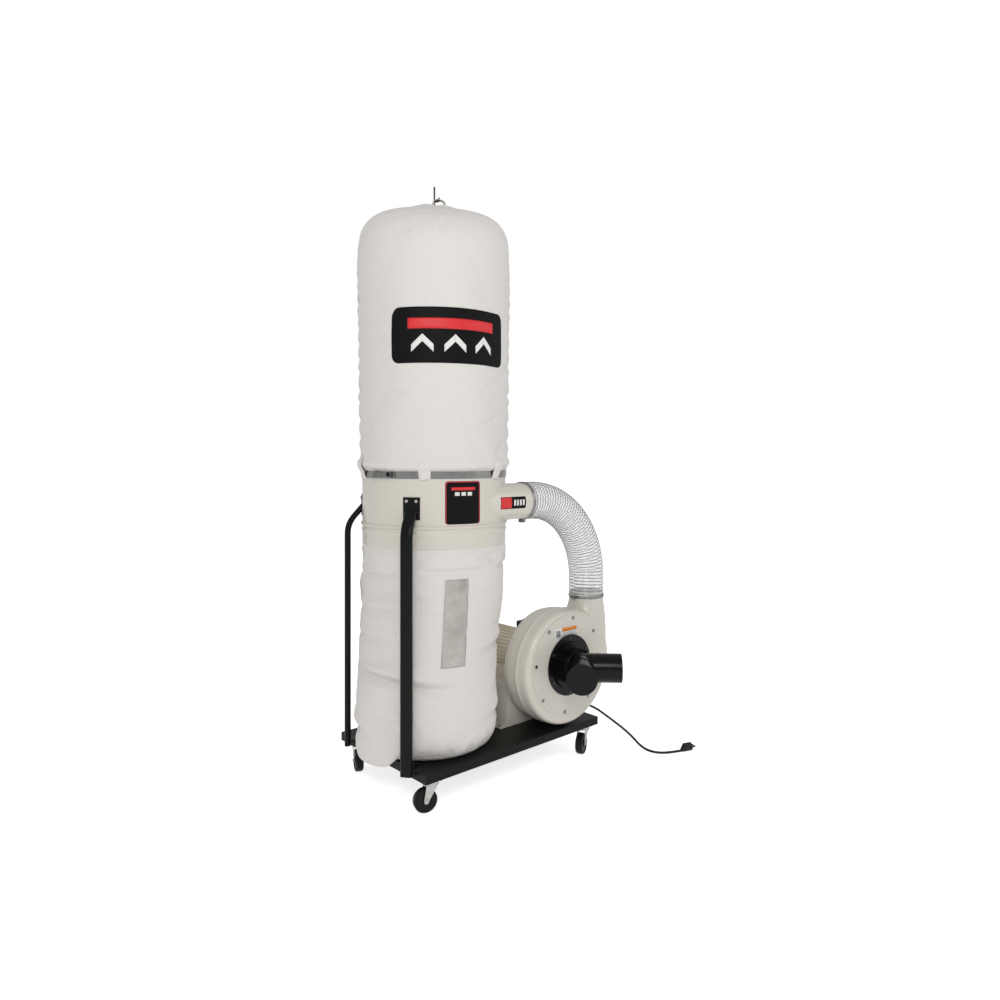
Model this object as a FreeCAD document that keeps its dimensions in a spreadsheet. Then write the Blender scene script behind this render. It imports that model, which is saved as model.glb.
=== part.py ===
import FreeCAD, Part
import Sketcher
import math
import os
import re

# Two-bag dust collector on a rolling base. Millimetres, +Z up, origin on the floor
# under the middle of the machine. +X runs from the drum to the blower, the blower's
# inlet looks along -Y.

SIZES = {
    # base tray
    "base_x": -15.523, "base_y": 81.695, "base_length": 800, "deck_sheet": 2.5, "skirt_depth": 28,
    "pad_length": 88, "pad_width": 74,
    # casters
    "caster_height": 103, "caster_inset_x": 44, "caster_inset_y": 37, "caster_plate": 62,
    "caster_sheet": 3, "race_radius": 26, "race_height": 11, "kingpin_radius": 6,
    "wheel_radius": 38, "wheel_width": 26, "caster_trail": 18, "fork_sheet": 2.5,
    "fork_back": 14, "fork_front": 12, "fork_end_radius": 8, "pin_head": 2,
    "axle_head": 2.5, "axle_head_height": 3, "wheel_hub_radius": 12, "web_radius": 14,
    "web_inset": 3, "rim_depth": 8, "tread_depth": 5, "tread_round": 4,
    "caster_axle_radius": 4, "caster_bolt_radius": 3, "caster_bolt_pitch": 46,
    "running_fit": 0.06, "swivel_gap": 0.3, "wheel_gap": 1.2,
    # support posts
    "post_width": 40, "post_depth": 20, "post_wall": 2, "post_gap": 40, "post_standoff": 19.5,
    "post_angle": 36, "rear_post_angle": 65.5, "post_foot_drop": 18, "post_bend": 90,
    "foot_tab_length": 52, "foot_tab_width": 36, "tab_sheet": 4, "shield_width": 56,
    "shield_height": 72, "shield_sheet": 3, "shield_screw_spread": 32, "m8_radius": 4,
    "shield_rise": 134, "shield_screw_rise": 24, "knee_drop": 66, "foot_bolt_inset": 14,
    "bolt_clearance": 0.4, "seat_gap": 0.1,
    # drum
    "drum_radius": 249, "drum_sheet": 1.5, "drum_bottom": 811, "drum_top": 1075,
    "bead_height": 72, "bead_depth": 5, "bead_width": 14, "hose_radius": 63.5, "stub_sheet": 1.5,
    "stub_height": 143, "stub_reach": 270, "stub_inset": 4, "guide_hole_radius": 150,
    "guide_drop": 60, "guide_sheet": 1.5, "fabric_gap": 0.3,
    "guide_lip": 12, "guide_flange": 10, "edge_roll": 2, "edge_height": 4,
    "groove_low": 30, "groove_high": 12, "groove_slope": 4, "groove_depth": 2,
    "label_angle": 255, "label_width": 124, "label_height": 138, "label_sheet": 0.8,
    # bags
    "bag_sheet": 1.5, "cuff_height": 38, "upper_bag_radius": 267.5, "upper_bag_top": 1976,
    "upper_bag_shoulder": 70, "upper_bag_crown": 40, "lower_bag_radius": 243,
    "dome_radius": 110, "dome_drop": 12, "shoulder_low": 30, "shoulder_high": 54,
    "shoulder_low_inset": 6, "shoulder_high_inset": 22, "crown_inset": 48, "cuff_flare": 24,
    "lower_bag_shift": 30, "lower_bag_foot_radius": 205, "lower_cuff": 24,
    "snap_band_height": 16, "snap_band_sheet": 1,
    # clamp band and latch
    "band_height": 26, "band_sheet": 0.8, "band_drop": 9, "latch_angle": 191, "saddle_length": 34,
    "latch_height": 18, "latch_ear_sheet": 1.6, "latch_ear_length": 12, "latch_reach": 11,
    "lever_length": 62, "lever_sheet": 2, "latch_pin_radius": 1.6, "catch_length": 22,
    # hanger rod
    "hanger_radius": 3, "hanger_angle": 53, "hanger_clearance": 14, "hanger_foot": 930,
    "hanger_rise": 84, "hanger_crook": 110, "hanger_shoulder": 22, "hanger_hook": 28,
    "hook_width": 16, "hook_tip": 14, "hook_bend": 7, "clamp_width": 30, "clamp_height": 24,
    # blower
    "blower_inset": 640, "axis_height": 225, "housing_depth": 138, "housing_wall": 3,
    "scroll_radius": 196, "scroll_step": 12, "duct_top": 184, "duct_blend": 24, "neck_top": 242,
    "neck_offset": 174, "rim_width": 4, "rim_proud": 4, "rim_back": 52, "housing_round": 14,
    "eye_radius": 150, "cover_radius": 181, "cover_sheet": 3, "cover_bolt_circle": 168.5,
    "cover_bolt_radius": 3, "cover_bolt_head": 6.5, "cover_bolt_turn": 37.5,
    "impeller_radius": 150, "impeller_hub": 24, "blade_sheet": 3, "blade_depth": 68,
    "impeller_gap": 30,
    # inlet wye
    "flange_radius": 108.5, "flange_sheet": 6, "step_radius": 84, "step_depth": 9,
    "throat_radius": 62, "port_radius": 50.8, "port_wall": 2.4, "port_length": 148,
    "port_angle": 45, "port_stop": 62, "stop_width": 4, "stop_proud": 2, "wye_apex": 46,
    "crotch_round": 4, "cap_wall": 2.2, "cap_depth": 22, "cap_gap": 0.3,
    "wye_screw_circle": 97, "wye_screw_radius": 2.5, "wye_screw_head": 5,
    "wye_screw_height": 2.4, "wye_screw_turn": 30,
    # motor
    "motor_radius": 84, "fin_depth": 7, "fin_sheet": 3.2, "bell_depth": 34, "frame_depth": 200,
    "bore_radius": 68, "stator_bore": 45, "rotor_radius": 44.4, "stator_depth": 110,
    "motor_shaft_radius": 8, "bearing_radius": 20, "bearing_depth": 14, "fan_cover_depth": 66,
    "cover_wall": 1.5, "cooling_fan_radius": 66, "motor_foot_height": 86,
    "fin_count": 36, "fin_root": 2, "fan_core": 14, "fan_blade_sheet": 2,
    "fan_blade_depth": 16, "fan_hub_depth": 18, "fan_setback": 22, "vent_count": 16,
    "motor_foot_width": 150, "motor_foot_length": 140, "rear_wall_depth": 10,
    # stand
    "stand_left": 180, "stand_right": 128, "stand_top_left": 152, "stand_top_right": 116,
    "stand_depth": 262, "stand_sheet": 3, "stand_flange": 22, "stand_gap": 6,
    "stand_bolt_inset": 16,
    # switch box, cord
    "box_left": 24, "box_right": 62, "box_depth": 61, "box_height": 38, "box_setback": 50,
    "box_wall": 3, "box_foot_left": 20, "box_foot_width": 46, "box_foot_inset": 8,
    "box_foot_root": 4, "button_margin": 12, "button_seat": 9, "button_flange": 3,
    "button_fit": 0.4,
    "button_radius": 11, "button_height": 9, "button_travel": 2.5, "button_pitch": 44,
    "relief_radius": 9, "relief_length": 28, "relief_lip": 3, "cord_radius": 4.5,
    "cord_lead": 40, "plug_length": 46, "plug_taper": 18, "blade_spread": 6.3,
    "plug_radius": 15, "blade_length": 18, "blade_width": 6.5,
    # flexible hose and its clamps
    "hose_bend": 300, "hose_lap": 30, "hose_sheet": 2.5, "clamp_band": 9, "clamp_sheet": 1.2,
    "clamp_screw": 12, "clamp_screw_length": 24, "clamp_inset": 24,
}

DERIVED = {
    "corner_x": "base_x - base_length / 2",
    "post_circle": "drum_radius + post_gap + post_depth / 2",
    "base_width": "2 * (post_circle * sin(rear_post_angle) - post_standoff)",
    "corner_y": "base_y - base_width / 2",
    "deck_top": "caster_height + skirt_depth",
    "drum_x": "corner_x - post_standoff + post_circle * cos(post_angle)",
    "drum_y": "base_y",
    "stub_y": "drum_y - drum_radius + hose_radius + stub_inset",
    "stub_z": "drum_bottom + stub_height",
    "stub_end": "drum_x + stub_reach",
    "cuff_bottom": "drum_top - cuff_height",
    "blower_x": "corner_x + blower_inset",
    "blower_z": "deck_top + axis_height",
    "housing_front": "stub_y - housing_depth / 2",
    "housing_back": "housing_front + housing_depth",
    "cover_front": "housing_front - cover_sheet",
    "neck_x": "blower_x + neck_offset",
    "neck_z": "blower_z + neck_top",
    "hose_inner": "hose_radius + fabric_gap",
    "hose_outer": "hose_inner + hose_sheet",
    "frame_start": "housing_back + bell_depth",
    "frame_end": "frame_start + frame_depth",
    "stand_top": "blower_z - motor_foot_height",
    "stand_front": "housing_back + stand_gap",
    "box_bottom": "blower_z + motor_radius",
    "box_front": "housing_back + box_setback",
    "wye_front": "cover_front - flange_sheet",
    "apex_y": "wye_front - wye_apex",
}

doc = FreeCAD.newDocument("DustCollector")
Vector = FreeCAD.Vector
UP = Vector(0, 0, 1)
TURNS = {
    "+Z": FreeCAD.Rotation(),
    "+Y": FreeCAD.Rotation(Vector(1, 0, 0), -90),
    "-Y": FreeCAD.Rotation(Vector(1, 0, 0), 90),
    "+X": FreeCAD.Rotation(Vector(0, 1, 0), 90),
}
sheet = doc.addObject("Spreadsheet::Sheet", "Sizes")
for row, (alias, number) in enumerate(SIZES.items(), start=1):
    sheet.set(f"A{row}", str(number))
    sheet.setAlias(f"A{row}", alias)
derived = doc.addObject("App::VarSet", "Derived")
PARTS = []


def expression(text):
    """Names of sizes in a formula, qualified with the object that holds them."""

    def qualify(match):
        word = match.group()
        if word in SIZES:
            return "Sizes." + word
        return "Derived." + word if word in DERIVED else word

    return re.sub(r"[a-z]\w+", qualify, str(text))


for alias, formula in DERIVED.items():
    derived.addProperty("App::PropertyFloat", alias)
    derived.setExpression(alias, expression(formula))
doc.recompute()


def value(text):
    """The number that a formula of named sizes stands for."""
    return float(sheet.evalExpression(expression(text)))


def bind(item, **formulas):
    """Bind properties of an object to formulas of named sizes."""
    for name, formula in formulas.items():
        item.setExpression(name.replace("__", "."), expression(formula))


def place(item, at, turn="+Z"):
    """Place an object at three formulas, turned so that its own Z points along turn."""
    rotation = TURNS[turn] if isinstance(turn, str) else turn
    item.Placement = FreeCAD.Placement(Vector(), rotation)
    for axis, formula in zip("xyz", at):
        item.setExpression(f"Placement.Base.{axis}", expression(formula))
    return item


def name_part(item, label):
    """Give a sub-part the label that names its file."""
    item.Label = label
    PARTS.append(item)
    return item


def block(at, length, width, height, turn="+Z"):
    item = doc.addObject("Part::Box", "Block")
    bind(item, Length=length, Width=width, Height=height)
    return place(item, at, turn)


def cylinder(at, radius, height, turn="+Z"):
    item = doc.addObject("Part::Cylinder", "Cylinder")
    bind(item, Radius=radius, Height=height)
    return place(item, at, turn)


def fuse(*pieces):
    item = doc.addObject("Part::MultiFuse", "Fuse")
    item.Shapes = list(pieces)
    return item


def cut(base, *tools):
    item = doc.addObject("Part::Cut", "Cut")
    item.Base = base
    item.Tool = tools[0] if len(tools) == 1 else fuse(*tools)
    return item


def common(base, tool):
    item = doc.addObject("Part::Common", "Common")
    item.Base = base
    item.Tool = tool
    return item


def tube(at, outer, inner, height, turn="+Z"):
    return cut(cylinder(at, outer, height, turn), cylinder(at, inner, height, turn))


def solid(shape, label):
    """A sub-part whose shape is made from the sheet's sizes with Part's own functions."""
    item = doc.addObject("Part::Feature", "Solid")
    item.Shape = shape
    item.Placement = FreeCAD.Placement()
    return name_part(item, label) if label else item


def sketch_outline(body, plane, corners):
    """A closed outline of straight lines, each corner held by two bound distances."""
    sketch = body.newObject("Sketcher::SketchObject", "Outline")
    support = [face for face in body.Origin.OriginFeatures if face.Role == plane][0]
    sketch.AttachmentSupport = [(support, "")]
    sketch.MapMode = "FlatFace"
    points = [Vector(value(x), value(y), 0) for x, y in corners]
    for start, end in zip(points, points[1:] + points[:1]):
        sketch.addGeometry(Part.LineSegment(start, end))
    for index in range(len(points)):
        following = (index + 1) % len(points)
        sketch.addConstraint(Sketcher.Constraint("Coincident", index, 2, following, 1))
    for index, (x, y) in enumerate(corners):
        for kind, text in (("DistanceX", x), ("DistanceY", y)):
            held = sketch.addConstraint(
                Sketcher.Constraint(kind, -1, 1, index, 1, value(text))
            )
            sketch.setExpression(f"Constraints[{held}]", expression(text))
    return sketch


def turned(corners, at, turn="+Z"):
    """A body turned about its own Z axis from (radius, height) corners."""
    body = doc.addObject("PartDesign::Body", "Turned")
    sketch = sketch_outline(body, "XZ_Plane", corners)
    feature = body.newObject("PartDesign::Revolution", "Revolution")
    feature.Profile = sketch
    feature.ReferenceAxis = (sketch, ["V_Axis"])
    feature.Angle = 360
    body.Tip = feature
    return place(body, at, turn)


def padded(body, corners, length):
    """A pad of an outline on the body's XY plane, bound in length."""
    pad = body.newObject("PartDesign::Pad", "Pad")
    pad.Profile = sketch_outline(body, "XY_Plane", corners)
    bind(pad, Length=length)
    body.Tip = pad
    return pad


def around(body, feature, count):
    """Repeat a feature evenly about the body's Z axis."""
    doc.recompute()
    pattern = body.newObject("PartDesign::PolarPattern", "Around")
    pattern.Originals = [feature]
    axis = [line for line in body.Origin.OriginFeatures if line.Role == "Z_Axis"][0]
    pattern.Axis = (axis, [""])
    pattern.Angle = 360
    pattern.Occurrences = count
    body.Tip = pattern
    return pattern


def route(points, radii=None):
    """A wire of straight runs joined by tangent arcs through a list of points."""
    edges, start = [], points[0]
    for index in range(1, len(points) - 1):
        before, corner, after = points[index - 1], points[index], points[index + 1]
        arriving, leaving = corner - before, after - corner
        half_turn = arriving.getAngle(leaving) / 2
        shorter = min(arriving.Length, leaving.Length)
        radius = radii[index - 1] if radii else 0.45 * shorter / math.tan(half_turn)
        reach = radius * math.tan(half_turn)
        arriving.normalize()
        leaving.normalize()
        first, last = corner - arriving * reach, corner + leaving * reach
        inward = (leaving - arriving).normalize()
        centre = corner + inward * (radius / math.cos(half_turn))
        middle = centre - inward * radius
        edges.append(Part.LineSegment(start, first).toShape())
        edges.append(Part.Arc(first, middle, last).toShape())
        start = last
    edges.append(Part.LineSegment(start, points[-1]).toShape())
    return Part.Wire(edges)


def piped(path, section):
    """A closed section carried along a wire."""
    shell = Part.BRepOffsetAPI.MakePipeShell(path)
    shell.add(section)
    shell.setTransitionMode(1)
    shell.build()
    shell.makeSolid()
    return shell.shape()


def disc_section(centre, direction, radius):
    return Part.Wire([Part.makeCircle(radius, centre, direction)])


# ---------------------------------------------------------------- base tray
deck_shell = cut(
    block(("corner_x", "corner_y", "caster_height"), "base_length", "base_width", "skirt_depth"),
    block(
        ("corner_x + deck_sheet", "corner_y + deck_sheet", "caster_height"),
        "base_length - 2 * deck_sheet",
        "base_width - 2 * deck_sheet",
        "skirt_depth - deck_sheet",
    ),
)
CORNERS = {
    "front_left": (1, 1),
    "front_right": (-1, 1),
    "rear_left": (1, -1),
    "rear_right": (-1, -1),
}


def caster_centre(side_x, side_y):
    """Formulas of a caster's swivel axis."""
    x = f"base_x - {side_x} * (base_length / 2 - caster_inset_x)"
    y = f"base_y - {side_y} * (base_width / 2 - caster_inset_y)"
    return x, y


def caster_bolt_places():
    """Axis of each caster bolt."""
    half = value("caster_bolt_pitch / 2")
    for side_x, side_y in CORNERS.values():
        x, y = (value(text) for text in caster_centre(side_x, side_y))
        for step_x in (-half, half):
            for step_y in (-half, half):
                yield x + step_x, y + step_y


pads = []
for side_x, side_y in CORNERS.values():
    pad_x = f"base_x - {side_x} * (base_length / 2 - pad_length / 2) - pad_length / 2"
    pad_y = f"base_y - {side_y} * (base_width / 2 - pad_width / 2) - pad_width / 2"
    pads.append(block((pad_x, pad_y, "caster_height"), "pad_length", "pad_width", "deck_sheet"))

POST_ANGLES = {
    "support_post_front": "180 + post_angle",
    "support_post_left": "180 - post_angle",
    "support_post_rear": "rear_post_angle",
}
STAND_FEET = (
    ("blower_x - stand_left - stand_flange / 2", "stand_front + stand_bolt_inset"),
    ("blower_x - stand_left - stand_flange / 2", "stand_front + stand_depth - stand_bolt_inset"),
    ("blower_x + stand_right + stand_flange / 2", "stand_front + stand_bolt_inset"),
    ("blower_x + stand_right + stand_flange / 2", "stand_front + stand_depth - stand_bolt_inset"),
)


def foot_bolt_places():
    """Axis of the deck bolt of each post, at the inner end of its foot tab."""
    inward = value("post_circle - post_depth / 2 - foot_tab_length + foot_bolt_inset")
    for name, formula in POST_ANGLES.items():
        angle = math.radians(value(formula))
        yield (
            value("drum_x") + inward * math.cos(angle),
            value("drum_y") + inward * math.sin(angle),
        )


def holes(places, radius, bottom, top):
    """Vertical hole tools at a list of places, as one solid group."""
    tools = [
        Part.makeCylinder(radius, top - bottom, Vector(x, y, bottom)) for x, y in places
    ]
    return solid(Part.makeCompound(tools), None)


stand_feet = [(value(x), value(y)) for x, y in STAND_FEET]
bolt_hole = value("m8_radius + bolt_clearance")
caster_hole = value("caster_bolt_radius + bolt_clearance")
deck_top = value("deck_top")
deck = cut(
    fuse(deck_shell, *pads),
    holes(caster_bolt_places(), caster_hole, value("caster_height") - 1, deck_top - 10),
    holes(foot_bolt_places(), bolt_hole, deck_top - 10, deck_top + 1),
    holes(stand_feet, bolt_hole, deck_top - 10, deck_top + 1),
)
name_part(deck, "base_deck")


# ---------------------------------------------------------------- fasteners
def bolt(foot, direction, shank_radius, shank_length, head_radius, head_height, sides=6):
    """A bolt whose shank starts under its head at foot and runs against direction."""
    axis = Vector(direction).normalize()
    shank = Part.makeCylinder(shank_radius, shank_length, foot, axis * -1)
    if sides:
        across = axis.cross(Vector(0, 0, 1) if abs(axis.z) < 0.9 else Vector(1, 0, 0))
        across.normalize()
        ring = []
        for index in range(sides + 1):
            turn = FreeCAD.Rotation(axis, 360.0 / sides * index)
            ring.append(foot + turn.multVec(across) * head_radius)
        head = Part.Face(Part.makePolygon(ring)).extrude(axis * head_height)
    else:
        head = Part.makeCylinder(head_radius, head_height, foot, axis)
        head = head.makeFillet(head_height * 0.6, [head.Edges[0]])
    return shank.fuse(head).removeSplitter()


def group(shapes, label):
    """Like fasteners in one node, each a separate solid."""
    return solid(Part.makeCompound(list(shapes)), label)


caster_bolt = value("caster_bolt_radius")
plate_bottom = value("caster_height - caster_sheet")
group(
    (
        bolt(Vector(x, y, plate_bottom), (0, 0, -1), caster_bolt, value("caster_sheet") + 8,
             caster_bolt * 1.7, 4)
        for x, y in caster_bolt_places()
    ),
    "caster_bolts",
)
tab_top = value("deck_top + tab_sheet")
m8 = value("m8_radius")
group(
    (
        bolt(Vector(x, y, tab_top), (0, 0, 1), m8, value("tab_sheet") + 12, m8 * 1.8, 5.5)
        for x, y in foot_bolt_places()
    ),
    "foot_bolts",
)
flange_top = value("deck_top + stand_sheet")
group(
    (
        bolt(Vector(x, y, flange_top), (0, 0, 1), m8, value("stand_sheet") + 12, m8 * 1.8, 5.5)
        for x, y in stand_feet
    ),
    "stand_bolts",
)

# ---------------------------------------------------------------- casters
# Each caster trails its swivel by caster_trail; the wheel turns on a riveted axle.
TRAIL_ANGLES = {"front_left": 162, "front_right": 205, "rear_left": 248, "rear_right": 171}
for corner, (side_x, side_y) in CORNERS.items():
    at_x, at_y = caster_centre(side_x, side_y)
    trail_turn = FreeCAD.Rotation(UP, TRAIL_ANGLES[corner])
    half_plate = "caster_plate / 2"
    plate = block(
        (f"{at_x} - {half_plate}", f"{at_y} - {half_plate}", "caster_height - caster_sheet"),
        "caster_plate", "caster_plate", "caster_sheet",
    )
    race_bottom = "caster_height - caster_sheet - race_height"
    race = cylinder((at_x, at_y, race_bottom), "race_radius", "race_height")
    crown_bottom = f"{race_bottom} - swivel_gap - fork_sheet"
    kingpin = cylinder((at_x, at_y, f"{crown_bottom} - swivel_gap"), "kingpin_radius",
                       "2 * swivel_gap + fork_sheet")
    kingpin_head = cylinder((at_x, at_y, f"{crown_bottom} - swivel_gap - pin_head"),
                            "kingpin_radius + pin_head", "pin_head")
    own_holes = [
        (value(at_x) + step_x * value("caster_bolt_pitch / 2"),
         value(at_y) + step_y * value("caster_bolt_pitch / 2"))
        for step_x in (-1, 1)
        for step_y in (-1, 1)
    ]
    drilled = cut(
        fuse(plate, race, kingpin, kingpin_head),
        holes(own_holes, caster_hole, plate_bottom - 1, value("caster_height") + 1),
    )
    name_part(drilled, f"caster_plate_{corner}")

    # fork: crown disc with two tapered legs, made about the swivel axis and then turned
    half_gap = "wheel_width / 2 + wheel_gap"
    leg_height = f"{crown_bottom} - wheel_radius"
    legs = []
    for offset in (half_gap, f"-({half_gap}) - fork_sheet"):
        leg = doc.addObject("Part::Wedge", "Leg")
        bind(
            leg,
            Xmin="-kingpin_radius - fork_back", Xmax="kingpin_radius + fork_front",
            X2min="caster_trail - fork_end_radius", X2max="caster_trail + fork_end_radius",
            Ymin="0", Ymax=leg_height, Zmin="0", Zmax="fork_sheet",
            Z2min="0", Z2max="fork_sheet",
        )
        legs.append(place(leg, ("0", offset, crown_bottom), "+Y"))
        legs.append(cylinder(("caster_trail", offset, "wheel_radius"), "fork_end_radius",
                             "fork_sheet", "+Y"))
    crown = cylinder(("0", "0", crown_bottom), "race_radius", "fork_sheet")
    fork = cut(
        fuse(crown, *legs),
        cylinder(("0", "0", f"{crown_bottom} - 1"), "kingpin_radius + running_fit", "fork_sheet + 2"),
        cylinder(("caster_trail", "-wheel_width", "wheel_radius"), "caster_axle_radius",
                 "2 * wheel_width", "+Y"),
    )
    name_part(place(fork, (at_x, at_y, "0"), trail_turn), f"caster_fork_{corner}")

    half = "wheel_width / 2"
    tread = turned(
        (
            ("caster_axle_radius + running_fit", f"-({half})"),
            ("wheel_hub_radius", f"-({half})"), ("web_radius", f"-({half}) + web_inset"),
            ("wheel_radius - rim_depth", f"-({half}) + web_inset"),
            ("wheel_radius - tread_depth", f"-({half})"),
            ("wheel_radius - web_inset", f"-({half})"),
            ("wheel_radius", f"-({half}) + tread_round"),
            ("wheel_radius", f"{half} - tread_round"),
            ("wheel_radius - web_inset", half), ("wheel_radius - tread_depth", half),
            ("wheel_radius - rim_depth", f"{half} - web_inset"),
            ("web_radius", f"{half} - web_inset"), ("wheel_hub_radius", half),
            ("caster_axle_radius + running_fit", half),
        ),
        ("caster_trail", "0", "wheel_radius"), "+Y",
    )
    hub = tube(("caster_trail", f"-({half})", "wheel_radius"), "10",
               "caster_axle_radius + running_fit", "wheel_width", "+Y")
    wheel = fuse(tread, hub)
    name_part(place(wheel, (at_x, at_y, "0"), trail_turn), f"caster_wheel_{corner}")
    axle_reach = f"{half_gap} + fork_sheet"
    axle = fuse(
        cylinder(("caster_trail", f"-({axle_reach})", "wheel_radius"), "caster_axle_radius",
                 f"2 * ({axle_reach})", "+Y"),
        cylinder(("caster_trail", axle_reach, "wheel_radius"), "caster_axle_radius + axle_head",
                 "axle_head_height", "+Y"),
        cylinder(("caster_trail", f"-({axle_reach}) - axle_head_height", "wheel_radius"),
                 "caster_axle_radius + axle_head", "axle_head_height", "+Y"),
    )
    name_part(place(axle, (at_x, at_y, "0"), trail_turn), f"caster_axle_{corner}")


# ---------------------------------------------------------------- support posts
def oval_section(width, depth, centre, along, across):
    """Flat-oval wire: width along one direction, rounded ends, depth across it."""
    radius, half = depth / 2, (width - depth) / 2
    a, b = centre + along * half + across * radius, centre - along * half + across * radius
    c, d = centre - along * half - across * radius, centre + along * half - across * radius
    end_low, end_high = centre - along * (half + radius), centre + along * (half + radius)
    return Part.Wire([
        Part.LineSegment(a, b).toShape(),
        Part.Arc(b, end_low, c).toShape(),
        Part.LineSegment(c, d).toShape(),
        Part.Arc(d, end_high, a).toShape(),
    ])


def post_shape():
    """Post in the plane of the drum's axis, standing at +X, before it is turned."""
    circle = value("post_circle")
    skin = value("drum_radius + shield_sheet")
    shield_middle = value("drum_bottom + shield_rise")
    foot = value("deck_top - post_foot_drop")
    knee = shield_middle - value("knee_drop")
    path = [
        Vector(circle, 0, foot),
        Vector(circle, 0, knee),
        Vector(skin - 6, 0, shield_middle - 4),
    ]
    wire = route(path, [value("post_bend")])
    side, outward = Vector(0, 1, 0), Vector(1, 0, 0)
    width, depth, wall = value("post_width"), value("post_depth"), value("post_wall")
    outer = piped(wire, oval_section(width, depth, path[0], side, outward))
    inner = piped(wire, oval_section(width - 2 * wall, depth - 2 * wall, path[0], side, outward))
    drum_space = Part.makeCylinder(skin, 400, Vector(0, 0, shield_middle - 200))
    post = outer.cut(inner).cut(drum_space)
    height, spread = value("shield_height"), value("shield_width")
    ring = Part.makeCylinder(skin, height, Vector(0, 0, shield_middle - height / 2)).cut(
        Part.makeCylinder(value("drum_radius + seat_gap"), height,
                          Vector(0, 0, shield_middle - height / 2))
    )
    window = Part.makeBox(
        skin, spread, height, Vector(0, -spread / 2, shield_middle - height / 2)
    )
    shield = ring.common(window)
    tab_length, tab_width = value("foot_tab_length"), value("foot_tab_width")
    inner_face = circle - value("post_depth / 2") + 1
    tab = Part.makeBox(
        tab_length, tab_width, value("tab_sheet"),
        Vector(inner_face - tab_length, -tab_width / 2, value("deck_top")),
    )
    post = post.fuse([shield, tab])
    screw = value("shield_screw_spread / 2")
    screw_height = shield_middle + value("shield_screw_rise")
    for offset in (-screw, screw):
        post = post.cut(Part.makeCylinder(
            value("caster_bolt_radius") + 0.2, 60,
            Vector(skin - 30, offset, screw_height), Vector(1, 0, 0)
        ))
    bolt_x = value("post_circle - post_depth / 2 - foot_tab_length + foot_bolt_inset")
    return post.cut(Part.makeCylinder(bolt_hole, 20, Vector(bolt_x, 0, value("deck_top") - 8)))


for name, formula in POST_ANGLES.items():
    post = doc.addObject("Part::Feature", "Post")
    post.Shape = post_shape()
    place(post, ("drum_x", "drum_y", "0"), FreeCAD.Rotation(UP, value(formula)))
    name_part(post, name)


def drum_screws():
    """Two screws through each post's shield into the drum's wall."""
    skin = value("drum_radius + shield_sheet")
    height = value("drum_bottom + shield_rise + shield_screw_rise")
    centre = Vector(value("drum_x"), value("drum_y"), 0)
    for formula in POST_ANGLES.values():
        turn = FreeCAD.Rotation(UP, value(formula))
        for offset in (-value("shield_screw_spread / 2"), value("shield_screw_spread / 2")):
            seat = math.sqrt(skin ** 2 - (abs(offset) - 5) ** 2) + 0.1
            foot = centre + turn.multVec(Vector(seat, offset, height))
            reach = value("shield_sheet") + 6
            yield bolt(foot, turn.multVec(Vector(1, 0, 0)), value("caster_bolt_radius"),
                       reach, 5.5, 3.4, 0)


group(drum_screws(), "support_screws")

# ---------------------------------------------------------------- drum
bead_low, bead_high = "bead_height - bead_width / 2", "bead_height + bead_width / 2"
drum_height = "drum_top - drum_bottom"
OUTER_WALL = (
    ("drum_radius - edge_roll", "0"), ("drum_radius", "edge_height"),
    ("drum_radius", "bead_height - groove_low"),
    ("drum_radius + groove_depth", "bead_height - groove_low + groove_slope"),
    ("drum_radius + groove_depth", "bead_height - groove_high - groove_slope"),
    ("drum_radius", "bead_height - groove_high"),
    ("drum_radius", bead_low), ("drum_radius + bead_depth", f"{bead_low} + groove_slope"),
    ("drum_radius + bead_depth", f"{bead_high} - groove_slope"), ("drum_radius", bead_high),
    ("drum_radius", drum_height),
)
INNER_WALL = (
    ("drum_radius - drum_sheet", drum_height), ("drum_radius - drum_sheet", bead_high),
    ("drum_radius + bead_depth - drum_sheet", f"{bead_high} - groove_slope - 0.5"),
    ("drum_radius + bead_depth - drum_sheet", f"{bead_low} + groove_slope + 0.5"),
    ("drum_radius - drum_sheet", bead_low), ("drum_radius - drum_sheet", "edge_height"),
    ("drum_radius - drum_sheet - 1.5", "0"),
)
wall = turned(OUTER_WALL + INNER_WALL, ("drum_x", "drum_y", "drum_bottom"))
stub = cylinder(("drum_x", "stub_y", "stub_z"), "hose_radius", "stub_reach", "+X")
stub_bore = cylinder(("drum_x", "stub_y", "stub_z"), "hose_radius - stub_sheet",
                     "stub_reach + 1", "+X")
drum_space = cylinder(("drum_x", "drum_y", "drum_bottom + 8"), "drum_radius - drum_sheet",
                      "drum_top - drum_bottom")


def drum_screw_holes():
    """Radial holes for the post screws, as one tool group."""
    height = value("drum_bottom + shield_rise + shield_screw_rise")
    centre = Vector(value("drum_x"), value("drum_y"), 0)
    tools = []
    for formula in POST_ANGLES.values():
        turn = FreeCAD.Rotation(UP, value(formula))
        for offset in (-value("shield_screw_spread / 2"), value("shield_screw_spread / 2")):
            start = centre + turn.multVec(Vector(value("drum_radius") - 30, offset, height))
            tools.append(Part.makeCylinder(value("caster_bolt_radius") + 0.2, 60, start,
                                           turn.multVec(Vector(1, 0, 0))))
    return solid(Part.makeCompound(tools), None)


drum = cut(fuse(wall, cut(stub, drum_space)), cut(stub_bore, cylinder(
    ("drum_x", "drum_y", "drum_bottom + 8"), "drum_radius / 2", drum_height)), drum_screw_holes())
name_part(drum, "collector_drum")

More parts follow.
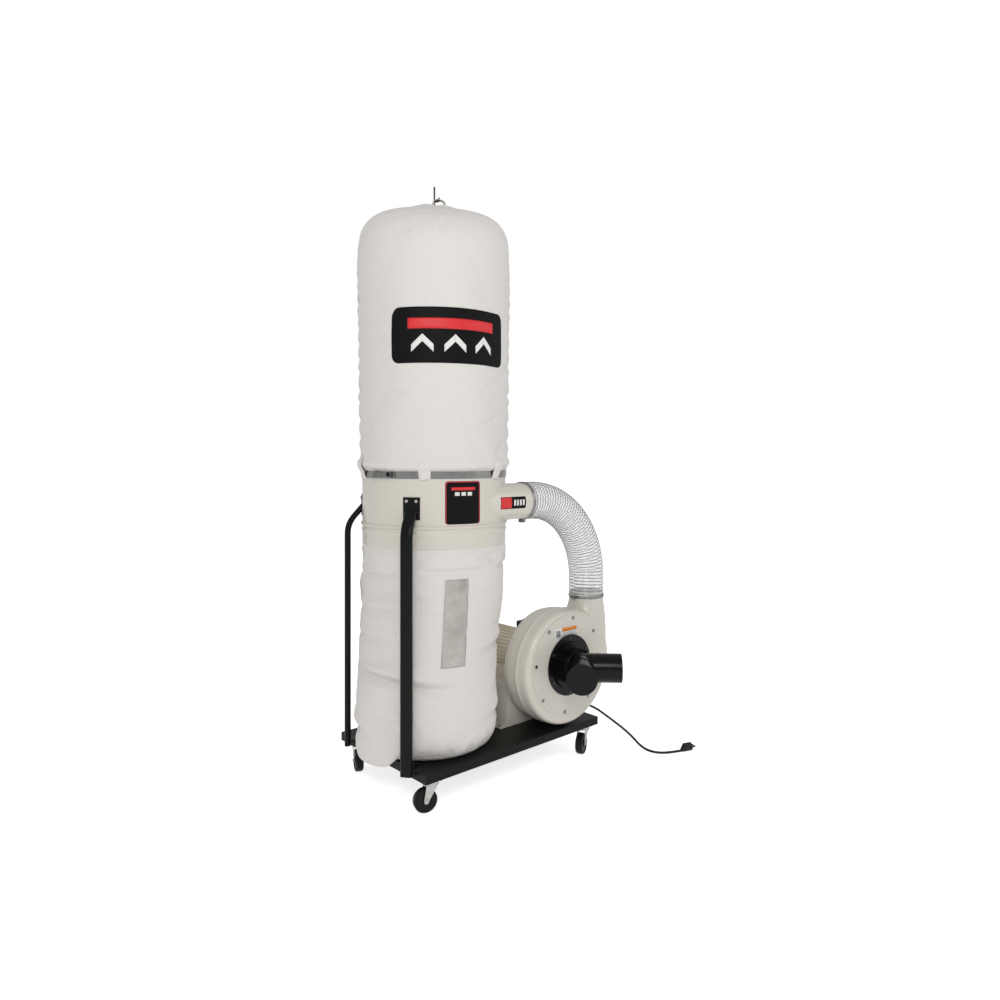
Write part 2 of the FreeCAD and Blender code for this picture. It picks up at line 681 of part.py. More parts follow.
guide_outer = "drum_radius - drum_sheet - fabric_gap"
name_part(turned(
    (
        (guide_outer, "0"), (guide_outer, "-guide_flange"),
        (f"{guide_outer} - guide_sheet", "-guide_flange"),
        (f"{guide_outer} - guide_sheet", "-guide_sheet"),
        (f"{guide_outer} - guide_lip", "-guide_sheet"), ("guide_hole_radius", "-guide_drop"),
        ("guide_hole_radius", "guide_sheet - guide_drop"), (f"{guide_outer} - guide_lip + 1", "0"),
    ),
    ("drum_x", "drum_y", "drum_bottom + bead_height - guide_flange"),
), "air_guide_cone")

# ---------------------------------------------------------------- bags
cuff_inner = "drum_radius + fabric_gap"
cuff_outer = f"{cuff_inner} + bag_sheet"
rise = "upper_bag_top - cuff_bottom"
shoulder = f"{rise} - upper_bag_shoulder - upper_bag_crown"
UPPER_OUTSIDE = (
    (cuff_inner, "0"), (cuff_outer, "0"), (cuff_outer, "cuff_height - 2"),
    ("upper_bag_radius", "cuff_height + cuff_flare"), ("upper_bag_radius", shoulder),
    ("upper_bag_radius - shoulder_low_inset", f"{shoulder} + shoulder_low"),
    ("upper_bag_radius - shoulder_high_inset", f"{shoulder} + shoulder_high"),
    ("upper_bag_radius - crown_inset", f"{rise} - upper_bag_crown"),
    ("dome_radius", f"{rise} - dome_drop"),
    ("0", rise),
)
UPPER_INSIDE = (
    ("0", f"{rise} - bag_sheet"), ("dome_radius", f"{rise} - dome_drop - bag_sheet"),
    ("upper_bag_radius - crown_inset - bag_sheet", f"{rise} - upper_bag_crown - bag_sheet"),
    ("upper_bag_radius - shoulder_high_inset - bag_sheet",
     f"{shoulder} + shoulder_high - bag_sheet"),
    ("upper_bag_radius - shoulder_low_inset - bag_sheet", f"{shoulder} + shoulder_low"),
    ("upper_bag_radius - bag_sheet", shoulder),
    ("upper_bag_radius - bag_sheet", "cuff_height + cuff_flare + 1"),
    (cuff_inner, "cuff_height + 1"),
)
name_part(turned(UPPER_OUTSIDE + UPPER_INSIDE, ("drum_x", "drum_y", "cuff_bottom")), "upper_bag")


def bag_loft(inset, floor):
    """Lower bag as rings from its floor to its cuff, leaning towards the base's end."""
    cuff = f"drum_radius - drum_sheet - fabric_gap - {inset}"
    rings = (
        (f"deck_top + fabric_gap + {floor}", f"lower_bag_foot_radius - {inset}", "lower_bag_shift"),
        ("deck_top + 50", f"lower_bag_radius - {inset}", "lower_bag_shift"),
        ("deck_top + 300", f"lower_bag_radius - {inset}", "lower_bag_shift"),
        ("drum_bottom - 160", f"lower_bag_radius - {inset}", "lower_bag_shift / 3"),
        ("drum_bottom - 14", f"{cuff} - 2", "0"),
        ("drum_bottom + lower_cuff", cuff, "0"),
    )
    sections = []
    for height, radius, shift in rings:
        ring = doc.addObject("Part::Circle", "Ring")
        bind(ring, Radius=radius)
        sections.append(place(ring, (f"drum_x - {shift}", "drum_y", height)))
    loft = doc.addObject("Part::Loft", "BagLoft")
    loft.Sections = sections
    loft.Solid = True
    loft.Ruled = True
    return loft


name_part(cut(bag_loft("0", "0"), bag_loft("bag_sheet", "bag_sheet")), "lower_bag")
snap_outer = "drum_radius - drum_sheet - 2 * fabric_gap - bag_sheet - 1.4"
name_part(tube(("drum_x", "drum_y", "drum_bottom + lower_cuff - snap_band_height - 2"),
               snap_outer, f"{snap_outer} - snap_band_sheet", "snap_band_height"),
          "lower_snap_band")

# ---------------------------------------------------------------- clamp band and latch
band_inner = f"{cuff_outer} + 0.1"
band_outer = f"{band_inner} + band_sheet"
band_bottom = "drum_top - band_drop - band_height"
name_part(tube(("drum_x", "drum_y", band_bottom), band_outer, band_inner, "band_height"),
          "bag_band")
latch_turn = FreeCAD.Rotation(UP, value("latch_angle"))
latch_low = f"{band_bottom} + (band_height - latch_height) / 2"
latch_seat = f"{band_outer} + seat_gap"
pin_reach = f"{band_outer} + latch_reach - 4"
pin_side = "-saddle_length"


def saddle(start, length):
    """Plate that lies on the band, cut from a ring, in the latch's own turn."""
    ring = tube(("0", "0", latch_low), f"{band_outer} + lever_sheet", latch_seat, "latch_height")
    return common(ring, block(("0", start, latch_low), "2 * drum_radius", length, "latch_height"))


ears = []
for low in (latch_low, f"{latch_low} + latch_height - latch_ear_sheet"):
    ears.append(block((f"{band_outer} - latch_reach", f"{pin_side} - latch_ear_length / 2", low),
                      "2 * latch_reach", "latch_ear_length", "latch_ear_sheet"))
latch_base = cut(
    fuse(saddle(f"{pin_side} - latch_ear_length / 2", "saddle_length"),
         *[cut(ear, cylinder(("0", "0", latch_low), latch_seat, "latch_height")) for ear in ears]),
    cylinder((pin_reach, pin_side, f"{latch_low} - 1"), "latch_pin_radius + running_fit",
             "latch_height + 2"),
)
name_part(place(latch_base, ("drum_x", "drum_y", "0"), latch_turn), "latch_base")
lever_low = f"{latch_low} + latch_ear_sheet + 0.4"
lever_height = "latch_height - 2 * latch_ear_sheet - 0.8"
lever = fuse(
    block((f"{pin_reach} - lever_sheet / 2 + 1", pin_side, lever_low), "lever_sheet",
          "lever_length", lever_height),
    cylinder((pin_reach, pin_side, lever_low), "latch_pin_radius + 1.6", lever_height),
    cylinder((pin_reach, pin_side, latch_low), "latch_pin_radius", "latch_height"),
)
name_part(place(lever, ("drum_x", "drum_y", "0"), latch_turn), "latch_lever")
catch = fuse(
    saddle("lever_length - saddle_length + 4", "catch_length"),
    cut(block((f"{band_outer} - latch_reach", "lever_length - saddle_length + 12", latch_low),
              "1.7 * latch_reach", "3", "latch_height"),
        cylinder(("0", "0", latch_low), latch_seat, "latch_height")),
)
name_part(place(catch, ("drum_x", "drum_y", "0"), latch_turn), "latch_catch")

# ---------------------------------------------------------------- hanger rod
hanger_circle = value("upper_bag_radius + hanger_clearance + hanger_radius")
hanger_top = value("upper_bag_top + hanger_rise")
crook = value("hanger_crook")
hook_end = value("upper_bag_top + hanger_hook")
hanger_path = [
    Vector(hanger_circle, 0, value("hanger_foot")),
    Vector(hanger_circle, 0, hanger_top),
    Vector(0, 0, hanger_top),
    Vector(0, 0, hook_end),
    Vector(0, -value("hook_width"), hook_end),
    Vector(0, -value("hook_width"), hook_end + value("hook_tip")),
]
hook_bend = value("hook_bend")
hanger_wire = route(hanger_path, [crook, value("hanger_shoulder"), hook_bend, hook_bend])
hanger = doc.addObject("Part::Feature", "Hanger")
hanger.Shape = piped(hanger_wire, disc_section(hanger_path[0], UP, value("hanger_radius")))
hanger_turn = FreeCAD.Rotation(UP, value("hanger_angle"))
place(hanger, ("drum_x", "drum_y", "0"), hanger_turn)
name_part(hanger, "hanger_rod")
clamp = cut(
    block(("drum_radius - 4", "-clamp_width / 2", "hanger_foot"), f"{hanger_circle} + 8 - drum_radius + 4",
          "clamp_width", "clamp_height"),
    cylinder(("0", "0", "hanger_foot - 1"), "drum_radius + seat_gap", "clamp_height + 2"),
    cylinder((str(hanger_circle), "0", "hanger_foot - 1"), "hanger_radius", "clamp_height + 2"),
)
name_part(place(clamp, ("drum_x", "drum_y", "0"), hanger_turn), "hanger_clamp")


# ---------------------------------------------------------------- blower housing
def scroll_outline(grow, y):
    """Volute of three arcs with an upright outlet duct, grown by an offset."""
    x, z = value("blower_x"), value("blower_z")
    step, radius = value("scroll_step"), value("scroll_radius") + grow
    near, far = -step / 2, step / 2
    centres = (Vector(x + near, y, z + near), Vector(x + far, y, z + near),
               Vector(x + far, y, z + far))
    duct_left = value("neck_x - hose_radius") - grow
    duct_right = x + far + radius + 2 * step
    duct_high = z + value("duct_top")
    start_angle = math.acos((duct_left - centres[0].x) / radius)

    def on_arc(centre, size, angle):
        return centre + Vector(size * math.cos(angle), 0, size * math.sin(angle))

    edges, angle = [], start_angle
    for index, centre in enumerate(centres):
        size, end = radius + index * step, math.pi * (1 + index / 2)
        edges.append(Part.Arc(
            on_arc(centre, size, angle), on_arc(centre, size, (angle + end) / 2),
            on_arc(centre, size, end)
        ).toShape())
        angle = end
    begin = on_arc(centres[0], radius, start_angle)
    corners = (
        on_arc(centres[2], radius + 2 * step, 2 * math.pi),
        Vector(duct_right, y, duct_high), Vector(duct_left, y, duct_high), begin,
    )
    for first, last in zip(corners, corners[1:]):
        edges.append(Part.LineSegment(first, last).toShape())
    return Part.Face(Part.Wire(edges))


def scroll_prism(grow, front, back):
    return scroll_outline(grow, front).extrude(Vector(0, back - front, 0))


def duct_transition(shrink, low, high, stop):
    """Blend from the duct's rectangle to the round neck, then the neck itself."""
    left, right = value("neck_x - hose_radius") + shrink, value("blower_x + scroll_radius") + (
        2.5 * value("scroll_step") - shrink)
    front, back = value("housing_front") + shrink, value("housing_back") - shrink
    rectangle = Part.makePolygon([
        Vector(left, front, low), Vector(right, front, low), Vector(right, back, low),
        Vector(left, back, low), Vector(left, front, low),
    ])
    centre = Vector(value("neck_x"), value("stub_y"), high)
    ring = disc_section(centre, UP, value("hose_radius") - shrink)
    blend = Part.makeLoft([rectangle, ring], True)
    neck = Part.makeCylinder(value("hose_radius") - shrink, stop - high, centre)
    return blend.fuse(neck)


front, back = value("housing_front"), value("housing_back")
wall_sheet = value("housing_wall")
duct_low = value("blower_z + duct_top")
duct_high = duct_low + value("duct_blend")
neck_z = value("neck_z")
front_shell = scroll_prism(0, front, back)
front_edges = [edge for edge in front_shell.Edges
               if abs(edge.BoundBox.YMin - front) < 0.01 and abs(edge.BoundBox.YMax - front) < 0.01
               and edge.BoundBox.ZMin < duct_low - 1]
front_shell = front_shell.makeFillet(value("housing_round"), front_edges)
rim = scroll_prism(value("rim_proud"), back - value("rim_back + rim_width"),
                   back - value("rim_back"))
rim = rim.common(Part.makeBox(2000, 2000, duct_low - 1, Vector(-1000, -1000, 0)))
outside = front_shell.fuse([rim, duct_transition(0, duct_low, duct_high, neck_z)])
inside = scroll_prism(-wall_sheet, front + wall_sheet, back - wall_sheet)
inside = inside.fuse(duct_transition(wall_sheet, duct_low - 1, duct_high, neck_z + 1))
housing = outside.cut(inside)
axis_foot = Vector(value("blower_x"), front - 1, value("blower_z"))
housing = housing.cut(Part.makeCylinder(value("eye_radius"), wall_sheet + 2, axis_foot,
                                        Vector(0, 1, 0)))
shaft_exit = Vector(value("blower_x"), back - wall_sheet - 1, value("blower_z"))
housing = housing.cut(Part.makeCylinder(value("motor_shaft_radius") + 6, wall_sheet + 2,
                                        shaft_exit, Vector(0, 1, 0)))
solid(housing.removeSplitter(), "blower_housing")

# cover plate: a disc with eight screw holes and the inlet's eye
cover = doc.addObject("PartDesign::Body", "Cover")
disc = cover.newObject("Sketcher::SketchObject", "Disc")
disc.AttachmentSupport = [([face for face in cover.Origin.OriginFeatures
                            if face.Role == "XY_Plane"][0], "")]
disc.MapMode = "FlatFace"
for index, formula in enumerate(("cover_radius", "throat_radius")):
    disc.addGeometry(Part.Circle(Vector(), UP, value(formula)))
    disc.addConstraint(Sketcher.Constraint("Coincident", index, 3, -1, 1))
    held = disc.addConstraint(Sketcher.Constraint("Radius", index, value(formula)))
    disc.setExpression(f"Constraints[{held}]", expression(formula))
cover_pad = cover.newObject("PartDesign::Pad", "Pad")
cover_pad.Profile = disc
bind(cover_pad, Length="cover_sheet")
cover.Tip = cover_pad
doc.recompute()
hole_sketch = cover.newObject("Sketcher::SketchObject", "ScrewHole")
hole_sketch.AttachmentSupport = disc.AttachmentSupport
hole_sketch.MapMode = "FlatFace"
hole_sketch.addGeometry(Part.Circle(Vector(value("cover_bolt_circle"), 0, 0), UP,
                                    value("cover_bolt_radius") + 0.2))
hole_sketch.addConstraint(Sketcher.Constraint("PointOnObject", 0, 3, -1))
held = hole_sketch.addConstraint(
    Sketcher.Constraint("DistanceX", -1, 1, 0, 3, value("cover_bolt_circle")))
hole_sketch.setExpression(f"Constraints[{held}]", expression("cover_bolt_circle"))
held = hole_sketch.addConstraint(Sketcher.Constraint("Radius", 0, value("cover_bolt_radius") + 0.2))
hole_sketch.setExpression(f"Constraints[{held}]", expression("cover_bolt_radius + 0.2"))
pocket = cover.newObject("PartDesign::Pocket", "Pocket")
pocket.Profile = hole_sketch
pocket.Type = "ThroughAll"
pocket.Midplane = True
cover.Tip = pocket
around(cover, pocket, 8)
cover_turn = FreeCAD.Rotation(Vector(0, -1, 0), SIZES["cover_bolt_turn"])
place(cover, ("blower_x", "housing_front", "blower_z"), cover_turn.multiply(TURNS["-Y"]))
name_part(cover, "front_cover")


def ring_places(radius, count, first, y):
    """Points evenly round the blower's axis."""
    for index in range(count):
        angle = math.radians(first + 360 / count * index)
        yield Vector(value("blower_x") + radius * math.cos(angle), y,
                     value("blower_z") + radius * math.sin(angle))


group(
    (
        bolt(foot, (0, -1, 0), value("cover_bolt_radius"), value("cover_sheet"),
             value("cover_bolt_head"), 3, 0)
        for foot in ring_places(value("cover_bolt_circle"), 8, value("cover_bolt_turn"),
                                value("cover_front"))
    ),
    "cover_screws",
)

# ---------------------------------------------------------------- impeller and rotor
impeller = doc.addObject("PartDesign::Body", "Impeller")
blade_root = "impeller_hub - 2"
padded(impeller, ((blade_root, "-blade_sheet / 2"), ("impeller_radius", "-blade_sheet / 2"),
                  ("impeller_radius", "blade_sheet / 2"), (blade_root, "blade_sheet / 2")),
       "blade_depth")
around(impeller, impeller.Tip, 8)
doc.recompute()
impeller_front = "housing_front + impeller_gap"
place(impeller, ("blower_x", impeller_front, "blower_z"), "+Y")
back_disc = cylinder(("blower_x", f"{impeller_front} + blade_depth", "blower_z"),
                     "impeller_radius", "blade_sheet", "+Y")
hub = cylinder(("blower_x", impeller_front, "blower_z"), "impeller_hub",
               "blade_depth + blade_sheet", "+Y")
shaft_hole = cylinder(("blower_x", f"{impeller_front} - 1", "blower_z"), "motor_shaft_radius",
                      "blade_depth + blade_sheet + 2", "+Y")
name_part(cut(fuse(impeller, back_disc, hub), shaft_hole), "impeller")
rotor_start = "frame_start + frame_depth / 2 - stator_depth / 2"
shaft_end = "frame_end + fan_cover_depth - 18"
name_part(fuse(
    cylinder(("blower_x", impeller_front, "blower_z"), "motor_shaft_radius",
             f"{shaft_end} - ({impeller_front})", "+Y"),
    cylinder(("blower_x", rotor_start, "blower_z"), "rotor_radius", "stator_depth", "+Y"),
), "rotor_shaft")
fan_front = "frame_end + fan_setback"
cooling_fan = doc.addObject("PartDesign::Body", "CoolingFan")
half_blade = "fan_blade_sheet / 2"
padded(cooling_fan, (("fan_core", f"-{half_blade}"), ("cooling_fan_radius", f"-{half_blade}"),
                     ("cooling_fan_radius", half_blade), ("fan_core", half_blade)),
       "fan_blade_depth")
around(cooling_fan, cooling_fan.Tip, 8)
doc.recompute()
place(cooling_fan, ("blower_x", fan_front, "blower_z"), "+Y")
name_part(cut(
    fuse(
        cooling_fan,
        cylinder(("blower_x", fan_front, "blower_z"), "fan_core + fan_blade_sheet",
                 "fan_hub_depth", "+Y"),
        cylinder(("blower_x", fan_front, "blower_z"), "cooling_fan_radius",
                 "fan_blade_sheet", "+Y"),
    ),
    cylinder(("blower_x", f"{fan_front} - 1", "blower_z"), "motor_shaft_radius",
             "fan_hub_depth + 2", "+Y"),
), "cooling_fan")

# ---------------------------------------------------------------- inlet wye and cap
PORT_TURNS = {}
for side in (-1, 1):
    lean = side * SIZES["port_angle"]
    PORT_TURNS[side] = FreeCAD.Rotation(UP, lean).multiply(TURNS["-Y"])
wye_body = [
    cylinder(("blower_x", "cover_front", "blower_z"), "flange_radius", "flange_sheet", "-Y"),
    cylinder(("blower_x", "wye_front", "blower_z"), "step_radius", "step_depth", "-Y"),
    cylinder(("blower_x", "cover_front", "blower_z"), "throat_radius + port_wall",
             "flange_sheet + wye_apex", "-Y"),
]
wye_bores = [
    cylinder(("blower_x", "cover_front + 8", "blower_z"), "throat_radius",
             "flange_sheet + wye_apex - 5", "-Y"),
]
for side, turn in PORT_TURNS.items():
    apex = ("blower_x", "apex_y", "blower_z")
    wye_body.append(cylinder(apex, "port_radius", "port_length", turn))
    stop = cut(
        cylinder(("0", "0", "port_stop"), "port_radius + stop_proud", "stop_width"),
        cylinder(("0", "0", "port_stop - 1"), "port_radius - port_wall / 2", "stop_width + 2"),
    )
    wye_body.append(place(stop, apex, turn))
    wye_bores.append(cylinder(apex, "port_radius - port_wall", "port_length + 1", turn))
wye_body.append(place(doc.addObject("Part::Sphere", "Crotch"), ("blower_x", "apex_y", "blower_z")))
bind(wye_body[-1], Radius="port_radius + crotch_round")
wye_bores.append(place(doc.addObject("Part::Sphere", "CrotchSpace"),
                       ("blower_x", "apex_y", "blower_z")))
bind(wye_bores[-1], Radius="port_radius - port_wall + 1")
wye_holes = group(
    [
        Part.makeCylinder(value("wye_screw_radius") + 0.2, value("flange_sheet") + 2,
                          foot + Vector(0, 1, 0), Vector(0, -1, 0))
        for foot in ring_places(value("wye_screw_circle"), 6, value("wye_screw_turn"),
                                value("cover_front"))
    ],
    None,
)
name_part(cut(fuse(*wye_body), *wye_bores, wye_holes), "inlet_wye")
group(
    (
        bolt(foot, (0, -1, 0), value("wye_screw_radius"), value("flange_sheet"),
             value("wye_screw_head"), value("wye_screw_height"), 0)
        for foot in ring_places(value("wye_screw_circle"), 6, value("wye_screw_turn"),
                                value("wye_front"))
    ),
    "wye_screws",
)
cap_start = "port_length - cap_depth + cap_wall + cap_gap"
cap = cut(
    cylinder(("0", "0", cap_start), "port_radius + cap_gap + cap_wall", "cap_depth"),
    cylinder(("0", "0", f"{cap_start} - cap_wall"), "port_radius + cap_gap", "cap_depth"),
)
name_part(place(cap, ("blower_x", "apex_y", "blower_z"), PORT_TURNS[-1]), "port_cap")

# ---------------------------------------------------------------- motor
bell = turned(
    (
        ("bearing_radius", "0"), ("motor_radius", "0"), ("motor_radius", "bell_depth"),
        ("bore_radius", "bell_depth"), ("bore_radius", "8"), ("bearing_radius + 6", "8"),
        ("bearing_radius + 6", "bearing_depth"), ("bearing_radius", "bearing_depth"),
    ),
    ("blower_x", "housing_back", "blower_z"), "+Y",
)
name_part(bell, "front_bell")
fins = doc.addObject("PartDesign::Body", "Fins")
padded(fins, (("bore_radius + fin_root", "-fin_sheet / 2"), ("motor_radius", "-fin_sheet / 2"),
              ("motor_radius", "fin_sheet / 2"), ("bore_radius + fin_root", "fin_sheet / 2")),
       "frame_depth")
around(fins, fins.Tip, SIZES["fin_count"])
doc.recompute()
place(fins, ("blower_x", "frame_start", "blower_z"), "+Y")
barrel = cylinder(("blower_x", "frame_start", "blower_z"), "motor_radius - fin_depth",
                  "frame_depth", "+Y")
foot_block = block(("blower_x - motor_foot_width / 2", "frame_start + 20", "stand_top"),
                   "motor_foot_width", "motor_foot_length", "motor_foot_height / 2")
rear_seat = cylinder(("blower_x", "frame_end - rear_wall_depth - 1", "blower_z"),
                     "bearing_radius", "rear_wall_depth + 2", "+Y")
bore = cylinder(("blower_x", "frame_start - 1", "blower_z"), "bore_radius",
                "frame_depth - rear_wall_depth + 1", "+Y")
box_foot = block(
    ("blower_x - box_foot_left", "box_front + box_foot_inset",
     "blower_z + bore_radius + box_foot_root"),
    "box_foot_width", "box_depth - 2 * box_foot_inset",
    "motor_radius - bore_radius - box_foot_root",
)
name_part(cut(fuse(barrel, fins, foot_block, box_foot), bore, rear_seat), "motor_frame")
name_part(tube(("blower_x", rotor_start, "blower_z"), "bore_radius", "stator_bore",
               "stator_depth", "+Y"), "stator")
bearing_bore = "motor_shaft_radius + running_fit"
bearings = doc.addObject("Part::Compound", "Bearings")
bearings.Links = [
    tube(("blower_x", "housing_back", "blower_z"), "bearing_radius", bearing_bore,
         "bearing_depth", "+Y"),
    tube(("blower_x", "frame_end - rear_wall_depth", "blower_z"), "bearing_radius", bearing_bore,
         "rear_wall_depth", "+Y"),
]
name_part(bearings, "shaft_bearings")
cover_inner = "motor_radius - cover_wall"
fan_cover = doc.addObject("PartDesign::Body", "FanCover")
padded(fan_cover, (("20", "-3"), ("motor_radius - 16", "-3"), ("motor_radius - 16", "3"),
                   ("20", "3")), "10")
around(fan_cover, fan_cover.Tip, SIZES["vent_count"])
doc.recompute()
place(fan_cover, ("blower_x", "frame_end + fan_cover_depth - 5", "blower_z"), "+Y")
cover_cup = turned(
    (
        ("motor_radius", "0"), ("motor_radius", "fan_cover_depth - 8"),
        ("motor_radius - 8", "fan_cover_depth"), ("0", "fan_cover_depth"),
        ("0", "fan_cover_depth - cover_wall"),
        (f"{cover_inner} - 8", "fan_cover_depth - cover_wall"),
        (cover_inner, "fan_cover_depth - 8 - cover_wall / 2"), (cover_inner, "0"),
    ),
    ("blower_x", "frame_end", "blower_z"), "+Y",
)
name_part(cut(cover_cup, fan_cover), "fan_cover")

# ---------------------------------------------------------------- motor stand


def stand_wedge(inset, low, high):
    """Tapered block under the motor; its own Y points up once it is placed."""
    wedge = doc.addObject("Part::Wedge", "Wedge")
    bind(
        wedge,
        Xmin=f"-stand_left + {inset}", Xmax=f"stand_right - {inset}",
        X2min=f"-stand_top_left + {inset}", X2max=f"stand_top_right - {inset}",
        Ymin="0", Ymax=f"{high} - ({low})",
        Zmin=f"-stand_depth + {inset}", Zmax=f"-({inset})",
        Z2min=f"-stand_depth + {inset}", Z2max=f"-({inset})",
    )
    return place(wedge, ("blower_x", "stand_front", low), FreeCAD.Rotation(Vector(1, 0, 0), 90))


stand_base = block(
    ("blower_x - stand_left - stand_flange", "stand_front", "deck_top"),
    "stand_left + stand_right + 2 * stand_flange", "stand_depth", "stand_sheet",
)
stand = cut(
    fuse(stand_base, stand_wedge("0", "deck_top", "stand_top")),
    stand_wedge("stand_sheet", "deck_top", "stand_top - stand_sheet"),
    holes(stand_feet, bolt_hole, deck_top - 1, deck_top + 10),
)
name_part(stand, "motor_stand")

# ---------------------------------------------------------------- switch box
first_button = "box_right - button_margin - button_radius"
button_places = (first_button, f"{first_button} - button_pitch")
box_top = "box_bottom + box_height"
button_y = "box_front + box_depth / 2"
relief_z = "box_bottom + box_height / 2"
box_body = block(("blower_x - box_left", "box_front", "box_bottom"), "box_left + box_right",
                 "box_depth", "box_height")
box_space = block(
    ("blower_x - box_left + box_wall", "box_front + box_wall", "box_bottom + box_wall"),
    "box_left + box_right - 2 * box_wall", "box_depth - 2 * box_wall",
    "box_height - 2 * box_wall",
)
button_holes = [
    cylinder((f"blower_x + {where}", button_y, f"{box_top} - 10"), "button_radius + button_fit",
             "12")
    for where in button_places
]
relief_hole = cylinder((f"blower_x + box_right - 5", button_y, relief_z), "relief_radius - relief_lip",
                       "10", "+X")
name_part(cut(box_body, box_space, *button_holes, relief_hole), "switch_box")
for label, where in zip(("start_button", "stop_button"), button_places):
    name_part(fuse(
        cylinder((f"blower_x + {where}", button_y, f"{box_top} - button_seat"), "button_radius",
                 "button_seat + button_height"),
        cylinder((f"blower_x + {where}", button_y, f"{box_top} - button_seat"),
                 "button_radius + button_flange", "2"),
    ), label)
relief_foot = ("blower_x + box_right - box_wall", button_y, relief_z)
relief = doc.addObject("Part::Cone", "Relief")
bind(relief, Radius1="relief_radius", Radius2="cord_radius + 1.5", Height="relief_length")
place(relief, ("blower_x + box_right", button_y, relief_z), "+X")
relief_neck = cylinder(relief_foot, "relief_radius - relief_lip", "box_wall", "+X")
name_part(fuse(relief_neck, relief), "strain_relief")

# ---------------------------------------------------------------- power cord and plug
# The cord falls behind the blower to the floor and lies there in loose curves. Its
# points are measured from the base's front left corner, in millimetres.
relief_end = Vector(value("blower_x + box_right + relief_length"), value(button_y),
                    value(relief_z))
CORD = (
    (816, 240, 436), (832, 274, 372), (838, 300, 300), (842, 322, 220),
    (848, 342, 130), (862, 362, 55), (905, 388, 4.5), (972, 418, 4.5), (1045, 446, 4.5),
    (1118, 455, 4.5), (1172, 405, 4.5), (1158, 318, 4.5), (1122, 235, 4.5),
    (1086, 155, 4.5), (1048, 74, 4.5), (1003, -6, 4.5), (958, -74, 4.5), (936, -130, 4.5),
    (950, -173, 4.5), (992, -200, 4.5), (1026, -212, 4.5),
)
corner = Vector(value("corner_x"), value("corner_y"), 0)
cord_points = [relief_end, relief_end + Vector(value("cord_lead"), 0, 0)]
cord_points += [corner + Vector(point) for point in CORD]
cord_wire = route(cord_points)
heading = (cord_points[1] - cord_points[0]).normalize()
cord_shape = piped(cord_wire, disc_section(cord_points[0], heading, value("cord_radius")))
print(f"cord {cord_wire.Length:.0f} mm")
solid(cord_shape, "power_cord")
out = (cord_points[-1] - cord_points[-2]).normalize()
plug_foot = cord_points[-1]
taper = value("plug_taper")
body_start = plug_foot + out * taper
side = out.cross(UP).normalize()
lift = value("plug_radius") - value("cord_radius")
body_centre = body_start + Vector(0, 0, lift)
plug_body = Part.makeCylinder(value("plug_radius"), value("plug_length") - taper, body_centre, out)
grip_loft = Part.makeLoft([
    disc_section(plug_foot, out, value("cord_radius")),
    disc_section(body_centre, out, value("plug_radius")),
], True)
plug_shape = grip_loft.fuse(plug_body)
tip = body_centre + out * (value("plug_length") - taper)
for offset in (-value("blade_spread"), value("blade_spread")):
    blade = Part.makeBox(value("blade_length"), 1.5, value("blade_width"),
                         Vector(0, -0.75, -value("blade_width") / 2))
    angle = math.degrees(math.atan2(out.y, out.x))
    blade.Placement = FreeCAD.Placement(tip + side * offset, FreeCAD.Rotation(UP, angle))
    plug_shape = plug_shape.fuse(blade)
solid(plug_shape, "power_plug")

# ---------------------------------------------------------------- flexible hose
stub_y, stub_z = value("stub_y"), value("stub_z")
hose_corner = Vector(value("neck_x"), stub_y, stub_z)
hose_points = [
    Vector(value("stub_end - hose_lap"), stub_y, stub_z), hose_corner,
    Vector(value("neck_x"), stub_y, neck_z - value("hose_lap")),
]
hose_wire = route(hose_points, [value("hose_bend")])
along = Vector(1, 0, 0)
hose = piped(hose_wire, disc_section(hose_points[0], along, value("hose_outer")))
hose_space = piped(hose_wire, disc_section(hose_points[0], along, value("hose_inner")))
solid(hose.cut(hose_space), "flex_hose")
clamp_inner = "hose_outer + 0.1"
clamp_outer = f"{clamp_inner} + clamp_sheet"


def hose_clamp(label, at, turn, screw_at):
    """Band round the hose's end with its screw housing."""
    ring = tube(at, clamp_outer, clamp_inner, "clamp_band", turn)
    clear = [f"{formula} - 6" if letter == turn[1].lower() else formula
             for letter, formula in zip("xyz", at)]
    screw = cut(block(screw_at, "clamp_screw", "clamp_screw_length", "clamp_screw"),
                cylinder(clear, clamp_inner, "clamp_band + clamp_screw", turn))
    return name_part(fuse(ring, screw), label)


hose_clamp("hose_clamp_upper", ("stub_end - clamp_inset", "stub_y", "stub_z"), "+X",
           ("stub_end - clamp_inset - 1.5", "stub_y - 12", f"stub_z - ({clamp_outer}) - 9"))
hose_clamp("hose_clamp_lower", ("neck_x", "stub_y", "neck_z - clamp_inset"), "+Z",
           (f"neck_x - ({clamp_outer}) - 9", "stub_y - 12", "neck_z - clamp_inset - 1.5"))

# ---------------------------------------------------------------- labels
label_bottom = "drum_bottom + bead_height + bead_width / 2 + 4"
label_ring = tube(("0", "0", label_bottom), "drum_radius + label_sheet + seat_gap",
                  "drum_radius + seat_gap", "label_height")
label_window = block(("0", "-label_width / 2", label_bottom), "2 * drum_radius", "label_width",
                     "label_height")
drum_label = common(label_ring, label_window)
label_turn = FreeCAD.Rotation(UP, value("label_angle"))
name_part(place(drum_label, ("drum_x", "drum_y", "0"), label_turn), "drum_label")

# ---------------------------------------------------------------- check and write
doc.recompute()
for item in doc.Objects:
    if "Invalid" in item.State or "Error" in item.State:
        raise RuntimeError(f"{item.Label} failed: {item.State}")
for item in PARTS:
    if item.Shape.isNull() or not item.Shape.isValid():
        raise RuntimeError(f"{item.Label} has no valid shape")
os.makedirs("parts", exist_ok=True)
for item in PARTS:
    item.Shape.exportStep(f"parts/{item.Label}.step")
print(f"{len(PARTS)} sub-parts written")
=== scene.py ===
import math
import bmesh
import bpy
from mathutils import Matrix, Vector
from mathutils.bvhtree import BVHTree


